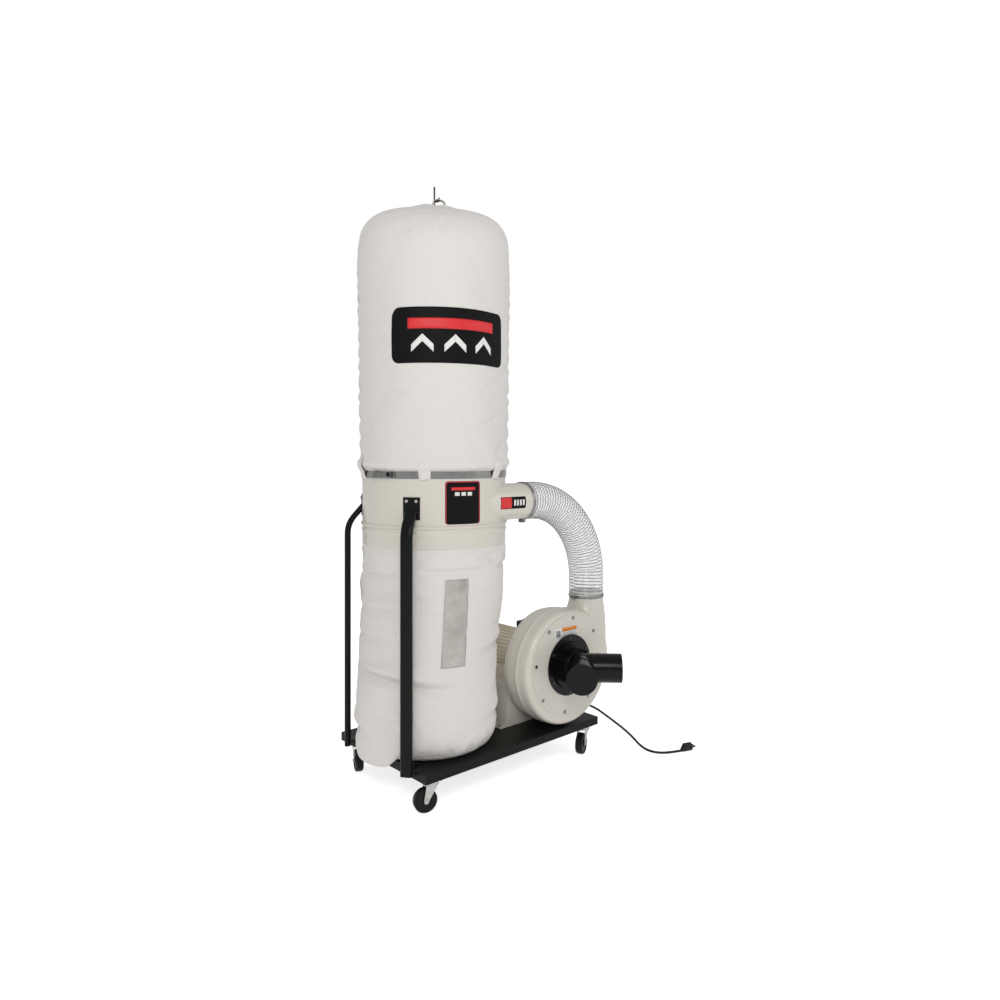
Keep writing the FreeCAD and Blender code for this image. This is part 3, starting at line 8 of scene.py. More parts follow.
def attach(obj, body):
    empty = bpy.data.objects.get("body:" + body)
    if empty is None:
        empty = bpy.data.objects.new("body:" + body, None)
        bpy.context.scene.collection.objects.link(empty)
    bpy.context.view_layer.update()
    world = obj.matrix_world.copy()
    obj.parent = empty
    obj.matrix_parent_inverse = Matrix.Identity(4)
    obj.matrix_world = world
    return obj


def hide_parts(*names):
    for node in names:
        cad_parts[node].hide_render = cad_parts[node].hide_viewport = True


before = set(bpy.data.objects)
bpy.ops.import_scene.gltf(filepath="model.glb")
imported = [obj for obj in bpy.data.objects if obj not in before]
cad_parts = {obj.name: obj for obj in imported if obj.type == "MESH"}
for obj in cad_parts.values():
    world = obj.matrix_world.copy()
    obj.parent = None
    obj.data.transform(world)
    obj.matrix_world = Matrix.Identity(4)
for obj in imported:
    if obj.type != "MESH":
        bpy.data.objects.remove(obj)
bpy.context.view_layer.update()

# ---- Viewpoint -------------------------------------------------------------------------------
# A level camera at chest height, far enough off the front corner to take in the whole machine.

lens = bpy.data.cameras.new("viewpoint")
lens.sensor_width = 36.0
lens.lens = 27.32
lens.shift_y = -0.045
viewpoint = bpy.data.objects.new("viewpoint", lens)
viewpoint.location = (-1.8023, -2.0491, 1.116)
viewpoint.rotation_euler = (math.radians(90.0), 0.0, math.radians(-42.0))
bpy.context.collection.objects.link(viewpoint)
bpy.context.scene.camera = viewpoint

# ---- Power cord and plug ---------------------------------------------------------------------
# Black rubber-jacketed mains lead, 9 mm thick. It leaves the switch box through a moulded
# relief, drops behind the blower and lies loose on the floor to a moulded two-blade plug.


def new_finish(name, colour, roughness, metallic=0.0):
    """A material with its Principled shader's plain values set."""
    material = bpy.data.materials.new(name)
    material.use_nodes = True
    shader = material.node_tree.nodes["Principled BSDF"]
    shader.inputs["Base Color"].default_value = (*colour, 1.0)
    shader.inputs["Roughness"].default_value = roughness
    shader.inputs["Metallic"].default_value = metallic
    return material, shader


def add_node(tree, kind, **values):
    """A shader node with its sockets (by name) and properties set."""
    node = tree.nodes.new(kind)
    for key, number in values.items():
        socket = node.inputs.get(key.replace("_", " "))
        if socket is None:
            setattr(node, key, number)
        else:
            socket.default_value = number
    return node


def join(tree, *wires):
    """Nodes' outputs fed to other nodes' inputs: (from, output, to, input) for each wire."""
    for source, output, target, socket in wires:
        tree.links.new(source.outputs[output], target.inputs[socket])


def new_effect(name, inputs, outputs):
    """A shader node group with named inputs (name, kind, default) and outputs (name, kind)."""
    group = bpy.data.node_groups.new(name, "ShaderNodeTree")
    for label, kind, default in inputs:
        socket = group.interface.new_socket(label, in_out="INPUT", socket_type=kind)
        if default is not None:
            socket.default_value = default
    for label, kind in outputs:
        group.interface.new_socket(label, in_out="OUTPUT", socket_type=kind)
    start = group.nodes.new("NodeGroupInput")
    end = group.nodes.new("NodeGroupOutput")
    return group, start, end


def add_effect(tree, group, **values):
    """An effect placed in a material with that material's own values."""
    node = tree.nodes.new("ShaderNodeGroup")
    node.node_tree = group
    for key, number in values.items():
        node.inputs[key.replace("_", " ")].default_value = number
    return node


FLOAT = "NodeSocketFloat"
COLOUR = "NodeSocketColor"
VECTOR = "NodeSocketVector"

# An even coat that is never quite even: cloudy tone, cloudy gloss and a fine skin texture.
coat_effect, coat_in, coat_out = new_effect(
    "coat_unevenness",
    [("Vector", VECTOR, None), ("Colour", COLOUR, (0.5, 0.5, 0.5, 1.0)),
     ("Tone", COLOUR, (0.4, 0.4, 0.4, 1.0)), ("Cloud Scale", FLOAT, 6.0),
     ("Skin Scale", FLOAT, 400.0), ("Low Roughness", FLOAT, 0.3), ("High Roughness", FLOAT, 0.4)],
    [("Colour", COLOUR), ("Roughness", FLOAT), ("Height", FLOAT)])
cloud = add_node(coat_effect, "ShaderNodeTexNoise", Detail=5.0, Roughness=0.6)
skin = add_node(coat_effect, "ShaderNodeTexNoise", Detail=2.0)
tone_mix = add_node(coat_effect, "ShaderNodeMix", data_type="RGBA")
gloss_range = add_node(coat_effect, "ShaderNodeMapRange")
join(coat_effect, (coat_in, "Vector", cloud, "Vector"), (coat_in, "Vector", skin, "Vector"),
     (coat_in, "Cloud Scale", cloud, "Scale"), (coat_in, "Skin Scale", skin, "Scale"),
     (cloud, "Fac", tone_mix, "Factor"), (coat_in, "Colour", tone_mix, "A"),
     (coat_in, "Tone", tone_mix, "B"), (cloud, "Fac", gloss_range, "Value"),
     (coat_in, "Low Roughness", gloss_range, "To Min"),
     (coat_in, "High Roughness", gloss_range, "To Max"),
     (tone_mix, "Result", coat_out, "Colour"), (gloss_range, "Result", coat_out, "Roughness"),
     (skin, "Fac", coat_out, "Height"))


def coated(name, colour, tone, low, high, cloud_scale=6.0, skin_scale=400.0, bump=0.05,
           metallic=0.0, coat=0.0, specular=0.5):
    """A painted, plated or moulded finish with the uneven coat on it."""
    material, shader = new_finish(name, colour, low, metallic)
    tree = material.node_tree
    place = add_node(tree, "ShaderNodeTexCoord")
    effect = add_effect(tree, coat_effect, Colour=(*colour, 1.0), Tone=(*tone, 1.0),
                        Cloud_Scale=cloud_scale, Skin_Scale=skin_scale, Low_Roughness=low,
                        High_Roughness=high)
    relief = add_node(tree, "ShaderNodeBump", Strength=bump, Distance=0.001)
    join(tree, (place, "Object", effect, "Vector"), (effect, "Colour", shader, "Base Color"),
         (effect, "Roughness", shader, "Roughness"), (effect, "Height", relief, "Height"),
         (relief, "Normal", shader, "Normal"))
    shader.inputs["Specular IOR Level"].default_value = specular
    shader.inputs["Coat Weight"].default_value = coat
    shader.inputs["Coat Roughness"].default_value = 0.12
    return material


def dress(material, *nodes):
    """A CAD node gets its finish."""
    for node in nodes:
        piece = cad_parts[node]
        piece.data.materials.clear()
        piece.data.materials.append(material)


def line_through(name, places, thickness, material, resolution=3, roundness=2):
    """A round cord or wire through a list of places."""
    data = bpy.data.curves.new(name, "CURVE")
    data.dimensions = "3D"
    data.resolution_u = resolution
    data.bevel_depth = thickness
    data.bevel_resolution = roundness
    data.use_fill_caps = True
    line = data.splines.new("NURBS")
    line.points.add(len(places) - 1)
    for control, place in zip(line.points, places):
        control.co = (*place, 1.0)
    line.order_u = 3
    line.use_endpoint_u = True
    data.materials.append(material)
    piece = bpy.data.objects.new(name, data)
    bpy.context.collection.objects.link(piece)
    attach(piece, "root")
    return piece


cord_rubber = coated("cord_rubber", (0.010, 0.010, 0.011), (0.018, 0.018, 0.018), 0.42, 0.6,
                     cloud_scale=14.0, skin_scale=900.0, bump=0.12, specular=0.3)
corner = Vector((-0.415523, -0.170885, 0.0))
cord_exit = Vector((0.314477, 0.049695, 0.459))
cord_route = [cord_exit, cord_exit + Vector((0.040, 0.0, 0.0))] + [
    corner + Vector(place) for place in (
        (0.816, 0.240, 0.436), (0.832, 0.274, 0.372), (0.838, 0.300, 0.300),
        (0.842, 0.322, 0.220), (0.848, 0.342, 0.130), (0.862, 0.362, 0.055),
        (0.905, 0.388, 0.0045), (0.972, 0.418, 0.0045), (1.045, 0.446, 0.0045),
        (1.118, 0.455, 0.0045), (1.172, 0.405, 0.0045), (1.158, 0.318, 0.0045),
        (1.122, 0.235, 0.0045), (1.086, 0.155, 0.0045), (1.048, 0.074, 0.0045),
        (1.003, -0.006, 0.0045), (0.958, -0.074, 0.0045), (0.936, -0.130, 0.0045),
        (0.950, -0.173, 0.0045), (0.992, -0.200, 0.0045), (1.026, -0.212, 0.0045))]
cord_width = 0.009
mains_lead = line_through("mains_lead", cord_route, cord_width / 2.0, cord_rubber, 10, 4)
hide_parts("power_cord")

plug_vinyl = coated("plug_vinyl", (0.010, 0.010, 0.011), (0.017, 0.017, 0.017), 0.34, 0.5,
                    cloud_scale=20.0, skin_scale=700.0, bump=0.1, specular=0.3)
dress(plug_vinyl, "power_plug", "strain_relief")

# ---- Floor and light -------------------------------------------------------------------------
# A plain white studio floor, lit by two broad soft lamps and an even surround.


def link(name, mesh, *materials):
    """A mesh made an object at the origin."""
    piece = bpy.data.objects.new(name, mesh)
    for material in materials:
        piece.data.materials.append(material)
    bpy.context.collection.objects.link(piece)
    return piece


def mesh_of(name, shape, outward=True):
    """The bmesh made a mesh, smooth shaded, its faces turned outward unless they face right."""
    if outward:
        bmesh.ops.recalc_face_normals(shape, faces=shape.faces)
    for face in shape.faces:
        face.smooth = True
    mesh = bpy.data.meshes.new(name)
    shape.to_mesh(mesh)
    shape.free()
    return mesh


floor_shape = bmesh.new()
bmesh.ops.create_grid(floor_shape, x_segments=1, y_segments=1, size=30.0)
floor_paint, floor_shader = new_finish("studio_floor", (0.93, 0.93, 0.93), 0.9)
floor_shader.inputs["Emission Color"].default_value = (1.0, 1.0, 1.0, 1.0)
floor_tree = floor_paint.node_tree
floor_seen = add_node(floor_tree, "ShaderNodeLightPath")
floor_glow = add_node(floor_tree, "ShaderNodeMapRange", To_Min=0.30, To_Max=0.75)
join(floor_tree, (floor_seen, "Is Camera Ray", floor_glow, "Value"),
     (floor_glow, "Result", floor_shader, "Emission Strength"))
floor = link("floor", mesh_of("floor", floor_shape), floor_paint)


def soft_lamp(name, place, aim, width, power):
    """A square area lamp at a place, turned to its aim."""
    data = bpy.data.lights.new(name, "AREA")
    data.shape = "SQUARE"
    data.size = width
    data.energy = power
    lamp = bpy.data.objects.new(name, data)
    lamp.location = place
    lamp.rotation_euler = (Vector(aim) - Vector(place)).to_track_quat("-Z", "Y").to_euler()
    bpy.context.collection.objects.link(lamp)


soft_lamp("key_lamp", (-2.5, -2.6, 3.0), (-0.1, 0.0, 0.9), 1.6, 60.0)
soft_lamp("fill_lamp", (2.2, -3.0, 2.2), (0.0, 0.0, 0.8), 2.2, 17.0)
surround = bpy.data.worlds.new("surround")
surround.use_nodes = True
sky_nodes = surround.node_tree
backdrop = sky_nodes.nodes["Background"]
backdrop.inputs["Color"].default_value = (1.0, 1.0, 1.0, 1.0)
seen_directly = add_node(sky_nodes, "ShaderNodeLightPath")
sky_strength = add_node(sky_nodes, "ShaderNodeMapRange", To_Min=0.46, To_Max=1.0)
join(sky_nodes, (seen_directly, "Is Camera Ray", sky_strength, "Value"),
     (sky_strength, "Result", backdrop, "Strength"))
bpy.context.scene.world = surround
bpy.context.scene.view_settings.view_transform = "Standard"

# ---- Base tray, posts and their fixings -------------------------------------------------------
# Folded steel tray and bent flat-oval posts in black satin powder coat, held with plated bolts.

black_powder_coat = coated("black_powder_coat", (0.004, 0.005, 0.0047), (0.007, 0.009, 0.0083),
                           0.30, 0.44, cloud_scale=5.0, skin_scale=1500.0, bump=0.1,
                           specular=0.14)
black_tube = coated("black_tube", (0.003, 0.0033, 0.0033), (0.005, 0.0055, 0.0055), 0.24, 0.34,
                    cloud_scale=9.0, skin_scale=1500.0, bump=0.08, specular=0.18)
zinc_plate = coated("zinc_plate", (0.62, 0.62, 0.60), (0.45, 0.45, 0.44), 0.22, 0.42,
                    cloud_scale=60.0, skin_scale=500.0, bump=0.05, metallic=1.0)
dress(black_powder_coat, "base_deck")
dress(black_tube, "support_post_front", "support_post_left", "support_post_rear")
dress(zinc_plate, "support_screws", "foot_bolts", "caster_bolts", "stand_bolts")

# ---- Casters ----------------------------------------------------------------------------------
# Four swivel casters: bright zinc-plated fork and race, black moulded wheel on an axle bolt.

wheel_rubber = coated("wheel_rubber", (0.005, 0.005, 0.0055), (0.010, 0.010, 0.0105), 0.3, 0.5,
                      cloud_scale=40.0, skin_scale=900.0, bump=0.08, specular=0.2)
for side in ("front_left", "front_right", "rear_left", "rear_right"):
    dress(zinc_plate, "caster_plate_" + side, "caster_fork_" + side, "caster_axle_" + side)
    dress(wheel_rubber, "caster_wheel_" + side)

# ---- Drum -------------------------------------------------------------------------------------
# Rolled sheet-steel drum in cream semi-gloss enamel, with its side inlet stub.

cream_enamel = coated("cream_enamel", (0.655, 0.625, 0.555), (0.615, 0.585, 0.515), 0.26, 0.36,
                      cloud_scale=4.0, skin_scale=700.0, bump=0.06, coat=0.25)
dress(cream_enamel, "collector_drum")
dress(cream_enamel, "air_guide_cone")
# The bands' bright steel carries painted reflection: dark cloudy streaks in its colour stand in
# for the surroundings reflected in the metal.
bright_steel_painted_reflection = coated("bright_steel_painted_reflection", (0.50, 0.50, 0.49), (0.20, 0.20, 0.20), 0.14, 0.30,
                      cloud_scale=26.0, skin_scale=300.0, bump=0.05, metallic=1.0)
# The latch steel carries painted reflection: fine dark streaks in its colour stand in for the
# surroundings reflected in the metal.
latch_steel_painted_reflection = coated("latch_steel_painted_reflection", (0.42, 0.42, 0.41), (0.10, 0.10, 0.10), 0.16, 0.34,
                     cloud_scale=90.0, skin_scale=500.0, bump=0.08, metallic=1.0)
dress(bright_steel_painted_reflection, "bag_band", "lower_snap_band")
dress(latch_steel_painted_reflection, "latch_base", "latch_catch", "latch_lever", "hose_clamp_lower",
      "hose_clamp_upper")
dress(zinc_plate, "hanger_clamp")
hanger_steel = coated("hanger_steel", (0.10, 0.10, 0.10), (0.05, 0.05, 0.05), 0.35, 0.5,
                      cloud_scale=30.0, metallic=0.8)
dress(hanger_steel, "hanger_rod")

# ---- Blower and motor -------------------------------------------------------------------------
# Cream enamel on the blower's cover, the stand and the finned motor with its bells, a gloss
# black moulded wye on the inlet, and a black switch box with a green and a red button on top.

dress(cream_enamel, "blower_housing", "front_cover", "motor_stand")
dress(zinc_plate, "rotor_shaft", "shaft_bearings")
dress(latch_steel_painted_reflection, "cover_screws")
dress(hanger_steel, "wye_screws")
wye_plastic = coated("wye_plastic", (0.003, 0.003, 0.0033), (0.005, 0.005, 0.0055), 0.14, 0.24,
                     cloud_scale=10.0, skin_scale=500.0, bump=0.05, specular=0.2)
dress(wye_plastic, "inlet_wye", "port_cap")
# The motor's enamel is the cream made lighter: painted light that brightens the motor and its bell
# where they sit in shade between the bag and the housing.
motor_enamel_painted_light = coated("motor_enamel_painted_light", (0.78, 0.73, 0.60), (0.72, 0.67, 0.54), 0.3, 0.42,
                      cloud_scale=7.0, skin_scale=500.0, bump=0.12)
dress(motor_enamel_painted_light, "motor_frame", "front_bell")
dress(cream_enamel, "fan_cover")
box_plastic = coated("box_plastic", (0.004, 0.004, 0.0045), (0.008, 0.008, 0.0085), 0.3, 0.42,
                     cloud_scale=12.0, skin_scale=900.0, bump=0.1, specular=0.18)
dress(box_plastic, "switch_box", "cooling_fan")
green_button_plastic = coated("green_button_plastic", (0.02, 0.25, 0.06), (0.02, 0.2, 0.05),
                              0.25, 0.35, cloud_scale=30.0)
red_button_plastic = coated("red_button_plastic", (0.45, 0.02, 0.015), (0.36, 0.015, 0.012),
                            0.25, 0.35, cloud_scale=30.0)
dress(green_button_plastic, "start_button")
dress(red_button_plastic, "stop_button")
core_steel = coated("core_steel", (0.30, 0.30, 0.31), (0.2, 0.2, 0.2), 0.4, 0.6,
                    cloud_scale=60.0, metallic=0.9)
dress(core_steel, "stator", "impeller")
dress(box_plastic, "drum_label")

# ---- Filter bag -------------------------------------------------------------------------------
# Heavy off-white woven filter cloth, sewn from two panels with an arched crown seam, blown up
# round and hung by a loop. Its hem is held on the drum under the steel band.

drum_x = -0.193127
drum_y = 0.081695


def around(radius, azimuth, height, shift=0.0):
    """A point on a circle round the drum's upright axis."""
    angle = math.radians(azimuth)
    return Vector((drum_x + shift + radius * math.cos(angle),
                   drum_y + radius * math.sin(angle), height))


def ease(low, high, number):
    """A smooth step from 0 to 1 between two numbers."""
    share = min(max((number - low) / (high - low), 0.0), 1.0)
    return share * share * (3.0 - 2.0 * share)


def rowed_tube(segments, rows, capped=False):
    """An upright tube, one unit tall, divided into equal rows."""
    shape = bmesh.new()
    bmesh.ops.create_cone(shape, cap_ends=capped, segments=segments, radius1=1.0, radius2=1.0,
                          depth=1.0)
    upright = [edge for edge in shape.edges
               if abs(edge.verts[0].co.z - edge.verts[1].co.z) > 0.5]
    bmesh.ops.subdivide_edges(shape, edges=upright, cuts=rows - 1)
    return shape


def cloth_tube(across, rows, width, height, place):
    """A tube of cloth with a map in metres, put in place by a function of azimuth and height."""
    shape = rowed_tube(across, rows)
    cloth_map = shape.loops.layers.uv.new("cloth")
    turn_of = {}
    for vertex in shape.verts:
        turn = math.atan2(vertex.co.y, vertex.co.x) / math.tau
        turn_of[vertex] = (round(turn * across) % across) / across
    for face in shape.faces:
        furthest = max(turn_of[loop.vert] for loop in face.loops)
        for loop in face.loops:
            turn = turn_of[loop.vert]
            turn += 1.0 if furthest - turn > 0.5 else 0.0
            loop[cloth_map].uv = (turn * width, (loop.vert.co.z + 0.5) * height)
    for vertex in shape.verts:
        vertex.co = place(360.0 * turn_of[vertex], vertex.co.z + 0.5)
    return shape


def along(profile, share):
    """The place at a share of the way along a profile of (radius, height, shift) rings."""
    spans = [math.hypot(b[0] - a[0], b[1] - a[1]) for a, b in zip(profile, profile[1:])]
    left = share * sum(spans)
    for ring, after, span in zip(profile, profile[1:], spans):
        if left <= span:
            part = left / span
            return [one + (two - one) * part for one, two in zip(ring, after)]
        left -= span
    return list(profile[-1])


def length_along(profile):
    """The cloth's length up a profile."""
    return sum(math.hypot(b[0] - a[0], b[1] - a[1]) for a, b in zip(profile, profile[1:]))


def settle(piece, held, seams, pressure, slack, pucker, furthest):
    """The cloth blown up by air: held at its rims, gathered along its seams, then kept so."""
    scene = bpy.context.scene
    pins = piece.vertex_groups.new(name="held")
    gathers = piece.vertex_groups.new(name="seams")
    for vertex in piece.data.vertices:
        pins.add([vertex.index], held(vertex.co), "REPLACE")
        gathers.add([vertex.index], seams(vertex.co), "REPLACE")
    cloth = piece.modifiers.new("cloth", "CLOTH")
    cloth.settings.quality = 5
    cloth.settings.mass = 0.25
    cloth.settings.tension_stiffness = 18.0
    cloth.settings.compression_stiffness = 18.0
    cloth.settings.shear_stiffness = 8.0
    cloth.settings.bending_stiffness = 0.15
    cloth.settings.use_pressure = True
    cloth.settings.uniform_pressure_force = pressure
    cloth.settings.vertex_group_mass = "held"
    cloth.settings.vertex_group_shrink = "seams"
    cloth.settings.shrink_min = -slack
    cloth.settings.shrink_max = pucker
    cloth.settings.effector_weights.gravity = 0.0
    frames = 20
    cloth.point_cache.frame_end = frames
    for step in range(1, frames + 1):
        scene.frame_set(step)
    settled = piece.evaluated_get(bpy.context.evaluated_depsgraph_get()).data
    places = [vertex.co.copy() for vertex in settled.vertices]
    piece.modifiers.remove(cloth)
    scene.frame_set(1)
    for vertex, place in zip(piece.data.vertices, places):
        move = place - vertex.co
        if move.length > furthest:
            move = move.normalized() * furthest
        vertex.co += move
    piece.vertex_groups.clear()


def subdivided(piece, levels):
    """A subdivision surface left live on the piece."""
    skin_levels = piece.modifiers.new("subdivision", "SUBSURF")
    skin_levels.levels = levels
    skin_levels.render_levels = levels


# Plain weave: two crossed sets of threads, a little uneven, with slubs.
weave_effect, weave_in, weave_out = new_effect(
    "plain_weave", [("Vector", VECTOR, None), ("Thread Scale", FLOAT, 200.0)],
    [("Height", FLOAT), ("Slubs", FLOAT)])
warp = add_node(weave_effect, "ShaderNodeTexWave", bands_direction="X", Distortion=0.6,
                Detail=1.0)
weft = add_node(weave_effect, "ShaderNodeTexWave", bands_direction="Y", Distortion=0.6,
                Detail=1.0)
crossed = add_node(weave_effect, "ShaderNodeMath", operation="ADD")
slubs = add_node(weave_effect, "ShaderNodeTexNoise", Scale=60.0, Detail=4.0)
for threads in (warp, weft):
    join(weave_effect, (weave_in, "Vector", threads, "Vector"),
         (weave_in, "Thread Scale", threads, "Scale"))
join(weave_effect, (weave_in, "Vector", slubs, "Vector"), (warp, "Fac", crossed, 0),
     (weft, "Fac", crossed, 1), (crossed, "Value", weave_out, "Height"),
     (slubs, "Fac", weave_out, "Slubs"))


def woven(name, colour, tone, roughness, thread_scale, bump, crease=0.008):
    """A woven cloth finish that follows the piece's own map, with soft creases in the cloth."""
    material, shader = new_finish(name, colour, roughness)
    tree = material.node_tree
    place = add_node(tree, "ShaderNodeTexCoord")
    weave = add_effect(tree, weave_effect, Thread_Scale=thread_scale)
    blend = add_node(tree, "ShaderNodeMix", data_type="RGBA")
    blend.inputs["A"].default_value = (*colour, 1.0)
    blend.inputs["B"].default_value = (*tone, 1.0)
    stretch = add_node(tree, "ShaderNodeMapping")
    stretch.inputs["Scale"].default_value = (5.0, 11.0, 1.0)
    creases = add_node(tree, "ShaderNodeTexNoise", Scale=1.0, Detail=3.0, Distortion=0.8)
    relief = add_node(tree, "ShaderNodeBump", Strength=bump, Distance=0.0006)
    wrinkle = add_node(tree, "ShaderNodeBump", Strength=0.5, Distance=crease)
    join(tree, (place, "UV", weave, "Vector"), (place, "UV", stretch, "Vector"),
         (stretch, "Vector", creases, "Vector"), (weave, "Slubs", blend, "Factor"),
         (blend, "Result", shader, "Base Color"), (creases, "Fac", wrinkle, "Height"),
         (weave, "Height", relief, "Height"), (wrinkle, "Normal", relief, "Normal"),
         (relief, "Normal", shader, "Normal"))
    shader.inputs["Sheen Weight"].default_value = 0.25
    shader.inputs["Sheen Roughness"].default_value = 0.5
    return material


filter_cloth = woven("filter_cloth", (0.735, 0.707, 0.680), (0.690, 0.662, 0.632), 0.84,
                     220.0, 0.25)

shoulder = 1.780
crown_rise = 0.190
bag_radius = 0.2675
crown_rings = 18
bag_wall = [(0.2494, 1.037, 0.0), (0.2500, 1.040, 0.0), (0.2503, 1.066, 0.0),
            (0.2590, 1.070, 0.0), (0.2680, 1.079, 0.0), (0.2690, 1.090, 0.0),
            (0.2650, 1.103, 0.0), (0.2635, 1.120, 0.0), (0.2645, 1.160, 0.0),
            (0.2670, 1.300, 0.0), (bag_radius, 1.450, 0.0), (bag_radius, shoulder, 0.0)]


def crown(squareness):
    """The rings of the bag's top: 2 is round like a ball, more is squarer at the shoulder."""
    rings = []
    for step in range(1, crown_rings + 1):
        lean = math.radians(90.0 * step / crown_rings)
        rings.append((max(bag_radius * math.cos(lean) ** (2.0 / squareness), 0.004),
                      shoulder + crown_rise * math.sin(lean) ** (2.0 / squareness), 0.0))
    return rings


front_profile = bag_wall + crown(2.15)
side_profile = bag_wall + crown(3.5)
seam_left = 150.0
seam_right = 322.0
seam_mid = (seam_left + seam_right) / 2.0
seam_half = (seam_right - seam_left) / 2.0
# Pinches of the gathered side seams: height, depth and how many degrees they run round.
seam_pinches = [(1.736, 0.005, 12.0), (1.644, 0.011, 17.0), (1.560, 0.005, 10.0),
                (1.502, 0.006, 11.0), (1.447, 0.005, 13.0), (1.404, 0.007, 10.0),
                (1.340, 0.009, 24.0), (1.304, 0.006, 14.0), (1.240, 0.007, 16.0),
                (1.180, 0.007, 20.0), (1.128, 0.006, 12.0)]
# Soft folds in the panels: azimuth, height, half length, half width, tilt, depth.
soft_folds = [
    (243.0, 1.297, 0.045, 0.011, 28.0, 0.0035), (236.0, 1.268, 0.036, 0.010, 18.0, 0.0025),
    (198.0, 1.326, 0.050, 0.010, -8.0, 0.0035), (206.0, 1.215, 0.060, 0.014, -14.0, 0.003),
    (252.0, 1.640, 0.026, 0.008, 74.0, 0.002), (262.0, 1.655, 0.050, 0.010, 12.0, 0.0025),
    (190.0, 1.600, 0.060, 0.014, -24.0, 0.0025), (280.0, 1.230, 0.055, 0.013, 20.0, 0.003),
    (300.0, 1.400, 0.070, 0.014, 30.0, 0.003), (222.0, 1.150, 0.070, 0.014, 6.0, 0.003),
    (268.0, 1.145, 0.060, 0.012, -12.0, 0.003), (20.0, 1.300, 0.080, 0.016, 30.0, 0.004),
    (60.0, 1.500, 0.080, 0.016, -20.0, 0.004), (100.0, 1.250, 0.070, 0.015, 14.0, 0.004),
    (350.0, 1.600, 0.070, 0.015, -26.0, 0.003), (120.0, 1.650, 0.060, 0.014, 30.0, 0.003),
    (240.0, 1.860, 0.040, 0.010, 70.0, 0.003), (262.0, 1.900, 0.050, 0.010, 60.0, 0.003),
    (210.0, 1.880, 0.045, 0.010, -64.0, 0.003),
]


def crown_seam_height(azimuth):
    """The height of the arched seam over the front panel, or nothing beyond the panel."""
    share = (azimuth - seam_mid) / seam_half
    if abs(share) > 1.0:
        return None
    return shoulder - 0.005 + 0.138 * math.sqrt(1.0 - share * share)


def upper_seam_nearness(azimuth, height):
    """How near a point of the filter bag is to a seam, 1 on it and 0 away from it."""
    nearest = 1.0
    for side in (seam_left, seam_right):
        if height < shoulder + 0.02:
            nearest = min(nearest, abs(azimuth - side) * math.pi / 180.0 * bag_radius)
    arch = crown_seam_height(azimuth)
    if arch is not None:
        nearest = min(nearest, abs(height - arch))
    return math.exp(-(nearest / 0.009) ** 2)


def fold_depth(folds, azimuth, height):
    """How far the soft folds draw the cloth in at a point."""
    depth = 0.0
    for middle, level, half_length, half_width, tilt, most in folds:
        across = math.radians((azimuth - middle + 180.0) % 360.0 - 180.0) * bag_radius
        up = height - level
        if abs(across) < 0.16 and abs(up) < 0.16:
            turn = math.radians(tilt)
            along_fold = (across * math.cos(turn) + up * math.sin(turn)) / half_length
            over_fold = (up * math.cos(turn) - across * math.sin(turn)) / half_width
            crease = math.exp(-over_fold ** 2) - 0.5 * math.exp(-(over_fold - 2.0) ** 2)
            depth += most * math.exp(-along_fold ** 2) * crease
    return depth


def pinch_depth(azimuth, height):
    """How far the side seams' pinches draw the cloth in at a point."""
    depth = 0.0
    for side, way, drop in ((seam_left, 1.0, 0.0), (seam_right, -1.0, 0.022)):
        turn = way * (azimuth - side)
        if -22.0 < turn < 26.0:
            for level, most, reach in seam_pinches:
                over = (height - level + drop - 0.0006 * turn) / 0.010
                if abs(over) < 3.5:
                    fade = (1.0 - ease(0.0, reach, turn)) * ease(-22.0, -2.0, turn)
                    crease = math.exp(-over * over) - 0.4 * math.exp(-(abs(over) - 2.0) ** 2)
                    depth += most * fade * crease
    return depth


def upper_bag_place(azimuth, share):
    """The filter bag's surface before the air is let in."""
    side = math.cos(math.radians(azimuth - 148.0)) ** 2
    low = along(front_profile, share)
    high = along(side_profile, share)
    radius, height, shift = [a + (b - a) * side for a, b in zip(low, high)]
    seam = upper_seam_nearness(azimuth, height)
    ruffle = ease(1.066, 1.078, height) * (1.0 - ease(1.10, 1.16, height))
    folds = math.sin(math.radians(azimuth * 6.0 + 70.0)) + 0.5 * math.sin(
        math.radians(azimuth * 17.0))
    radius += ruffle * 0.0028 * folds - 0.003 * seam
    radius -= fold_depth(soft_folds, azimuth, height) + pinch_depth(azimuth, height)
    return around(radius, azimuth, height)


def azimuth_of(place, shift=0.0):
    return math.degrees(math.atan2(place.y - drum_y, place.x - drum_x - shift)) % 360.0


def upper_held(place):
    if place.z < 1.069:
        return 1.0
    return 1.0 if math.hypot(place.x - drum_x, place.y - drum_y) < 0.012 else 0.0


def upper_gathered(place):
    return upper_seam_nearness(azimuth_of(place), place.z)


upper_cloth = (math.tau * bag_radius, length_along(front_profile))
upper_shape = cloth_tube(160, 116, *upper_cloth, upper_bag_place)
crown_rim = [edge for edge in upper_shape.edges
             if edge.is_boundary and edge.verts[0].co.z > shoulder]
bmesh.ops.contextual_create(upper_shape, geom=crown_rim)
upper_bag = link("filter_bag", mesh_of("filter_bag", upper_shape), filter_cloth)
settle(upper_bag, upper_held, upper_gathered, 2.4, 0.012, 0.12, 0.008)
subdivided(upper_bag, 1)
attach(upper_bag, "root")
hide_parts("upper_bag")

# ---- Collection bag ---------------------------------------------------------------------------
# The same cloth as the filter bag, snapped into the drum's lower rim. It stands on the tray,
# slumps in deep folds and bulges out between the posts over the tray's edge.

lower_profile = [(0.2472, 0.835, 0.0), (0.2472, 0.806, 0.0), (0.2490, 0.792, -0.001),
                 (0.2485, 0.740, -0.004), (0.2450, 0.651, -0.010), (0.2440, 0.540, -0.020),
                 (0.2430, 0.431, -0.029), (0.2430, 0.300, -0.031), (0.2440, 0.215, -0.030),
                 (0.2400, 0.178, -0.030), (0.2300, 0.150, -0.030), (0.2120, 0.1345, -0.030),
                 (0.1950, 0.1325, -0.030), (0.0040, 0.1325, -0.030)]
